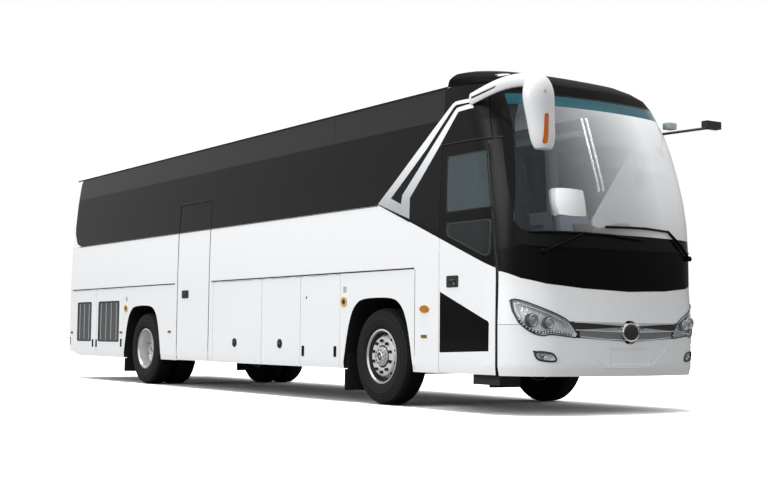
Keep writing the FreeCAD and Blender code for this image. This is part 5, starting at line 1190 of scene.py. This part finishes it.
# %% [markdown]
# Handles, latches, markers and reflectors sit on the flaps and panels that they belong to, and so ride with
# them. They are the same on both sides, but for the known fault: those of the left engine door miss it.

# %% Side fittings
ROUND_HANDLES = [(-0.007, 0.630), (1.181, 0.629)]
LATCHES = [(1.743, 0.55), (2.461, 0.554), (-5.95, 0.60), (-4.927, 0.575), (-4.777, 0.575), (-3.766, 0.59)]
REFLECTORS = [(-5.867, 0.739), (-3.77, 0.746), (-2.009, 0.762), (4.188, 0.733)]
RINGS = [(2.64, 1.107), (-3.597, 1.106)]
LABELS = [(2.654, 1.244), (-3.579, 1.247)]
PLAQUES = [("latch", LATCHES, (0.025, 0.06, 0.01), wiper_black, 0.007),
           ("reflector", REFLECTORS, (0.048, 0.016, 0.008), amber_brown, 0.008)]
FILLER_LOCK, MARKER, MARKER_X = (1.809, 1.17), (4.193, 1.01), 4.193
HOLD_STRIPS = [(-6.07, -1.86), (-0.7, 4.0)]
GUTTER_X = (-5.93, -3.0, 0.0, 3.0, 4.46)
for side, word in SIDES:
    spot = on_side(side)
    for i, (x, z) in enumerate(ROUND_HANDLES):
        body, label = body_under(side, x, z), "round_handle_%s_%d" % (word, i)
        skin(label, [plaque(x, z, 0.058, 0.055, 0.05)], spot, grained_plastic, body, lift=0.006, sink=0.001)
        skin(label + "_cup", [oval(x, z, 0.04, 0.038)], spot, black_parts_and_painted_shade, body, lift=0.0068)
        line(label + "_bar", [(x - 0.034, z), (x + 0.034, z)], spot, 0.010, dash_plastic, body, lift=0.008)
    for name, places, form, finish, lift in PLAQUES:
        for i, (x, z) in enumerate(places):
            skin("%s_%s_%d" % (name, word, i), [plaque(x, z, *form)], spot, finish, body_under(side, x, z),
                 lift=lift, sink=0.001)
    body = body_under(side, MARKER_X, 1.012)
    skin("marker_" + word, [oval(*MARKER, 0.076, 0.033)], spot, marker_amber, body, lift=0.012, sink=0.001)
    line("marker_rim_" + word, oval(*MARKER, 0.08, 0.037), spot, 0.006, brass_ring, body, lift=0.003,
         step=0.02, closed=True)
    for i, (x, z) in enumerate(RINGS):
        body, label = body_under(side, x, z), "coupling_%s_%d" % (word, i)
        core = oval(x, z, 0.036, 0.031)
        skin(label + "_ring", [oval(x, z, 0.064, 0.056), core], spot, brass_ring, body, lift=0.008,
             sink=0.001)
        skin(label + "_core", [core], spot, core_brown, body, lift=0.003)
    for i, (x, z) in enumerate(LABELS):
        skin("label_%s_%d" % (word, i), [plaque(x, z, 0.032, 0.034, 0.006)], spot, label_grey,
             body_under(side, x, z), lift=0.001)
    skin("filler_lock_" + word, [oval(*FILLER_LOCK, 0.014, 0.014, 12)], spot, grained_plastic,
         body_under(side, *FILLER_LOCK), lift=0.003)
    for i, (x0, x1) in enumerate(HOLD_STRIPS):
        line("hold_strip_%s_%d" % (word, i), [(x0, 1.43), (x1, 1.43)], spot, 0.008, seal_rubber, step=0.2)
    line("tail_corner_seam_" + word, [(-6.04, 0.66), (-6.04, 1.42)], spot, 0.004, seal_rubber, step=0.1)
    for i, (x0, x1) in enumerate(LOUVRES_X):
        body = body_under(side, x0 - 0.05, 0.9)
        count = round((x1 - x0) / 0.19)
        for k in range(count):
            x = x0 + (x1 - x0) * (k + 0.5) / count
            # The ribs' lighter tone is a painted highlight against the darker blades.
            line("louvre_rib_%s_%d_%d" % (word, i, k), [(x, 0.63), (x, 1.2)], spot, 0.014, louvre_rib, body,
                 step=0.1, sides=6)
        line("louvre_frame_%s_%d" % (word, i), rounded(x0, 0.61, x1, 1.22, 0.02), spot, 0.008, seal_rubber,
             body, step=0.1, closed=True)
    line("panel_seam_" + word, [(4.017, 0.40), (4.017, 1.42)], spot, 0.003, seal_rubber, step=0.2)
    line("band_seam_" + word, [(2.295, 2.16), (2.295, 3.2)], spot, 0.003, seal_rubber, step=0.1)
    line("belt_line_" + word, [(-5.95, 2.127), (3.29, 2.127)], spot, 0.004, seal_rubber, step=0.4)
    tube("roof_gutter_" + word, [Vector((x, side * 1.2, 3.247)) for x in GUTTER_X], 0.011, seal_rubber)
print("sides dressed")

# %% [markdown]
# The tail has a rimmed window, round lens rings in its lamp clusters, a bumper seam, a blank plate with a
# lamp over it, two reflectors and a handle for the engine door, which misses it by the same fault.

# %% Tail
TAIL_WINDOW = filleted([(-0.955, 2.155), (0.955, 2.155), (0.935, 2.955), (-0.935, 2.955)], 0.08)
LAMP_Y, LAMP_HALF_Y, LAMP_Z0, LAMP_Z1 = 1.035, 0.078, 1.003, 1.567
LENSES = [(1.085, 0.06, lens_clear), (1.245, 0.06, lens_amber), (1.41, 0.06, lens_red),
          (1.51, 0.035, lens_red)]
line("tail_window_seal", TAIL_WINDOW, on_tail, 0.008, seal_rubber, step=0.1, closed=True)
line("tail_bumper_seam", [(-1.2, 0.70), (1.2, 0.70)], on_tail, 0.004, seal_rubber, step=0.1)
skin("tail_plate_blank", [rounded(-0.23, 0.50, 0.23, 0.62, 0.01)], on_tail, lens_clear, "coach",
     "white_paint", lift=0.004, sink=0.001)
skin("tail_plate_lamp", [rounded(-0.12, 0.64, 0.12, 0.67, 0.01)], on_tail, grained_plastic, lift=0.012,
     sink=0.001)
skin("engine_door_handle", [rounded(-0.09, 0.755, 0.09, 0.80, 0.015)], on_tail, grained_plastic,
     BODY_OF["engine_door_rear"], lift=0.005, sink=0.001)
skin("high_stop_lamp", [rounded(-0.2, 3.03, 0.2, 3.07, 0.012)], on_tail, lens_red, lift=0.006, sink=0.001)
for side, word in SIDES:
    box = rounded(side * LAMP_Y - LAMP_HALF_Y, LAMP_Z0, side * LAMP_Y + LAMP_HALF_Y, LAMP_Z1, 0.012)
    line("tail_lamp_rim_" + word, box, on_tail, 0.008, grained_plastic, closed=True)
    for i, (z, size, finish) in enumerate(LENSES):
        inner = oval(side * LAMP_Y, z, size * 0.82, size * 0.82)
        skin("tail_lens_ring_%s_%d" % (word, i), [oval(side * LAMP_Y, z, size, size), inner], on_tail,
             chrome_plate, lift=0.005, sink=0.001, step=0.02)
        skin("tail_lens_%s_%d" % (word, i), [inner], on_tail, finish, "coach", "red_lamp", lift=0.008,
             sink=0.001, step=0.02)
    skin("tail_reflector_" + word, [rounded(side * 0.95 - 0.06, 0.60, side * 0.95 + 0.06, 0.64, 0.008)],
         on_tail, lens_red, lift=0.005, sink=0.001)
print("tail dressed")

# %% [markdown]
# Seats are foam under moquette: crowned cushions with seams, a raised head part and a washable lace cover
# on the driver's. They stand where the plain solids stand, two and two down the coach.

# %% Seats
SEAT_FIRST_X, SEAT_PITCH, SEAT_ROWS, SEAT_Y = -5.44, 0.76, 12, 0.70
DOOR_WELL = (-2.264, -0.535)
FLOOR_Z, PLATFORM_Z, DRIVER_SEAT_X, DRIVER_Y = 1.4403, 1.1403, 4.36, 0.62
LEAN, CLOTH_ANGLE = math.radians(-10.5), math.radians(60)


def stitched(mesh, centre, half, lean, rows=3):
    """Adds a pad made of upright rolls side by side, with seams between them."""
    turn = Matrix.Rotation(lean, 3, "Y")
    for i in range(rows):
        share = (i + 0.5) / rows * 2 - 1
        offset = turn @ Vector((0, share * half[1], 0))
        pillow(mesh, Vector(centre) + offset, (half[0], half[1] / rows * 1.04, half[2]), lean, 0.3, 3)


chairs = [(DRIVER_SEAT_X, DRIVER_Y, PLATFORM_Z, 1, 0.5)]
for row in range(SEAT_ROWS):
    x = SEAT_FIRST_X + row * SEAT_PITCH
    for side in (-1, 1):
        if side > 0 or not DOOR_WELL[0] < x < DOOR_WELL[1]:
            chairs.append((x, side * SEAT_Y, FLOOR_Z, 2, 0.88))
pads, shells, laces = bmesh.new(), bmesh.new(), bmesh.new()
for x, y, z, places, width in chairs:
    part = width / places
    for i in range(places):
        middle_y = y - width / 2 + part * (i + 0.5)
        stitched(pads, (x + 0.17, middle_y, z + 0.40), (0.215, part * 0.44, 0.062), 0.0)
        stitched(pads, (x - 0.062, middle_y, z + 0.74), (0.05, part * 0.42, 0.27), LEAN)
        pillow(pads, (x - 0.12, middle_y, z + 1.05), (0.05, part * 0.34, 0.085), LEAN, 0.3, 4)
        pillow(shells, (x - 0.098, middle_y, z + 0.76), (0.028, part * 0.45, 0.31), LEAN, 0.15, 3)
    pillow(shells, (x + 0.15, y, z + 0.165), (0.12, width * 0.38, 0.15), 0.0, 0.1, 2)
    for edge in (-1, 1):
        pillow(shells, (x + 0.12, y + edge * width * 0.475, z + 0.60), (0.17, 0.022, 0.022), 0.0, 0.3, 3)
HEAD_PLACE = (DRIVER_SEAT_X - 0.125, DRIVER_Y - 0.02, PLATFORM_Z + 1.06)
pillow(laces, HEAD_PLACE, (0.062, 0.215, 0.16), LEAN, 0.3, 6)
seat_pads = put("seat_cushions", pads, [seat_cloth], sharp=CLOTH_ANGLE)
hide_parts("seats")
put("seat_shells", shells, [grained_plastic])
lace = put("driver_head_cover", laces, [lace_cover], sharp=CLOTH_ANGLE)

# %% [markdown]
# Through the windscreen one also sees the dashboard's hood and screen, pale grab poles and the driver's
# inner mirror on its arm.

# %% Cab fittings
cushion("dash_hood", dash_plastic, (5.03, 0.62, 1.79), (0.16, 0.34, 0.06), math.radians(-12), 0.25, 5,
        "dark_plastic")
cushion("dash_screen", grained_plastic, (5.02, 0.12, 1.82), (0.02, 0.12, 0.075), math.radians(-12), 0.12, 3)
POLES = [(diode_white, [(4.7, 0.451, 3.07), (4.7, 0.679, 2.40), (4.7, 0.70, 2.30)]),
         (diode_white, [(4.66, 0.42, 3.07), (4.66, 0.65, 2.40), (4.66, 0.67, 2.30)]),
         (sheet_metal, [(4.32, -0.33, 1.16), (4.32, -0.33, 2.0), (4.32, -0.33, 3.05)]),
         (sheet_metal, [(4.6, -1.02, 1.3), (4.62, -1.02, 1.9), (4.75, -1.0, 2.3)])]
for i, (finish, path) in enumerate(POLES):
    tube("grab_pole_%d" % i, [Vector(p) for p in path], 0.013, finish, "coach", "bright_metal")
ARM = [(5.12, 1.03, 2.92), (5.14, 1.02, 2.80), (5.1, 0.979, 2.723), (5.1, 0.90, 2.60), (5.1, 0.846, 2.503)]
ARM_JOINT = [(0.02, -0.02), (0.05, -0.01), (0.055, 0.01), (0.02, 0.02)]
tube("inner_mirror_arm", [Vector(p) for p in ARM], 0.009, grained_plastic)
turned("inner_mirror_joint", ARM_JOINT, ARM[2], (1, 0, 0.2), mirror_face)
cushion("inner_mirror", grained_plastic, (5.1, 0.84, 2.42), (0.018, 0.05, 0.1), math.radians(8), 0.25, 4)
print("inside furnished:", len(chairs), "chairs")

# %% [markdown]
# The right mirror hangs from a white arm. It has a silvered glass that faces back, an amber repeater down
# its inner edge and a small camera window. The left one is a small black pod.

# %% Mirrors
MIRROR_SURFACE, _ = surface_of(["mirrors"])


def mirror_spot(start, way):
    """Gives the place where a ray meets the mirrors: start gives its start for two flat measures."""
    way = Vector(way)
    return lambda u, v: (MIRROR_SURFACE.ray_cast(Vector(start(u, v)), way)[0], -way)


ahead_of_mirror = mirror_spot(lambda y, z: (END_START, y, z), (-1, 0, 0))
behind_mirror = mirror_spot(lambda y, z: (5.7, y, z), (1, 0, 0))
beside_mirror = mirror_spot(lambda x, z: (x, -SIDE_START, z), (0, 1, 0))
REPEATER = rounded(-1.335, 2.475, -1.29, 2.75, 0.02)
CAMERA_WINDOW = rounded(-1.35, 2.93, -1.32, 2.96, 0.008)
MIRROR_GLASS = softened([(-1.46, 2.99), (-1.24, 2.99), (-1.22, 2.80), (-1.20, 2.55), (-1.35, 2.55),
                         (-1.44, 2.75)])
ARM_SLOT = [(4.90, 3.085), (5.36, 3.11), (5.40, 3.115), (5.36, 3.095), (4.90, 3.065)]
skin("mirror_repeater", [REPEATER], ahead_of_mirror, lens_amber, lift=0.004, sink=0.002, step=0.03)
skin("mirror_camera", [CAMERA_WINDOW], ahead_of_mirror, pale_plastic, lift=0.002)
skin("mirror_glass", [MIRROR_GLASS], behind_mirror, mirror_face, lift=0.003, sink=0.002, step=0.03)
skin("mirror_arm_slot", [ARM_SLOT], beside_mirror, black_parts_and_painted_shade, lift=0.002, step=0.03)
print("mirrors dressed")

# %% [markdown]
# The studio is white all round. The world lights the coach at about two thirds strength but looks white to
# the camera, to mirrors and through glass. A soft sun from the right makes the side brighter than the nose,
# and one from above lights the roof and casts the shadow. A lamp under the ceiling lights the cab.

# %% Studio
SKY_LEVEL, WALL_LEVEL, SIDE_ENERGY, TOP_ENERGY = 0.7, 0.3, 1.8, 2.2
world = bpy.data.worlds.new("studio")
bpy.context.scene.world = world
world.use_nodes = True
sky = world.node_tree
sky.nodes.clear()
ray = add(sky, "ShaderNodeLightPath").outputs
seen = worked(sky, "MAXIMUM", ray["Is Camera Ray"], ray["Is Glossy Ray"])
seen = worked(sky, "MAXIMUM", seen, ray["Is Transmission Ray"])
aim = add(sky, "ShaderNodeTexCoord")
split = add(sky, "ShaderNodeSeparateXYZ", {"Vector": aim.outputs["Generated"]}).outputs
wall = ranged(sky, split["Y"], -0.7, 0.3, 1.0, WALL_LEVEL)
over = ranged(sky, split["Z"], 0.12, 0.4)
band = ranged(sky, split["Z"], 0.02, 0.1, 0.12, 1.0)
dome = mixed(sky, over, worked(sky, "MULTIPLY", wall, band), 1.0)
shine = mixed(sky, ray["Is Glossy Ray"], 1.0, dome)
level = mixed(sky, seen, SKY_LEVEL, shine)
glow = add(sky, "ShaderNodeBackground", {"Color": (1, 1, 1, 1), "Strength": level})
add(sky, "ShaderNodeOutputWorld", {"Surface": glow.outputs["Background"]})


def soft_sun(name, towards, energy, spread):
    """A far light with soft edges, given by the direction that it comes from."""
    data = bpy.data.lights.new(name, "SUN")
    data.energy, data.angle = energy, math.radians(spread)
    lamp = bpy.data.objects.new(name, data)
    lamp.rotation_euler = Vector(towards).to_track_quat("Z", "Y").to_euler()
    bpy.context.scene.collection.objects.link(lamp)
    return lamp


CEILING_WATTS, CEILING_SIZE, CEILING_PLACE, CEILING_TURN = 40, 1.2, (4.9, 0.1, 3.05), math.radians(38)
ceiling_data = bpy.data.lights.new("saloon_ceiling_lamp", "AREA")
ceiling_data.energy, ceiling_data.size = CEILING_WATTS, CEILING_SIZE
ceiling_lamp = bpy.data.objects.new("saloon_ceiling_lamp", ceiling_data)
ceiling_lamp.location = CEILING_PLACE
ceiling_lamp.rotation_euler = (0, CEILING_TURN, 0)
bpy.context.scene.collection.objects.link(ceiling_lamp)
side_light = soft_sun("side_light", (0.0, -0.93, 0.37), SIDE_ENERGY, 30)
soft_sun("top_light", (0.0, -0.08, 1.0), TOP_ENERGY, 12)

FLOOR_REACH, PAPER_BOUNCE, PAPER_SEEN = 150, 0.22, 1.7
corners = [(x * FLOOR_REACH, y * FLOOR_REACH, 0) for x, y in ((-1, -1), (1, -1), (1, 1), (-1, 1))]
floor_mesh = bpy.data.meshes.new("studio_floor")
floor_mesh.from_pydata(corners, [], [(0, 1, 2, 3)])
floor_finish, floor_tree, _ = new_finish("studio_paper")
look = add(floor_tree, "ShaderNodeLightPath")
tone = mixed(floor_tree, look.outputs["Is Camera Ray"], PAPER_BOUNCE, PAPER_SEEN)
paper = add(floor_tree, "ShaderNodeBsdfDiffuse", {"Color": tone})
add(floor_tree, "ShaderNodeOutputMaterial", {"Surface": paper.outputs[0]})
floor_mesh.materials.append(floor_finish)
studio_floor = bpy.data.objects.new("studio_floor", floor_mesh)
bpy.context.scene.collection.objects.link(studio_floor)
lit = bpy.data.collections.new("lit_from_the_side")
for piece in bpy.context.scene.objects:
    if piece.type == "MESH" and piece is not studio_floor:
        lit.objects.link(piece)
side_light.light_linking.receiver_collection = lit
bpy.context.scene.view_settings.view_transform = "Standard"
print("studio lights:", len(bpy.data.lights))
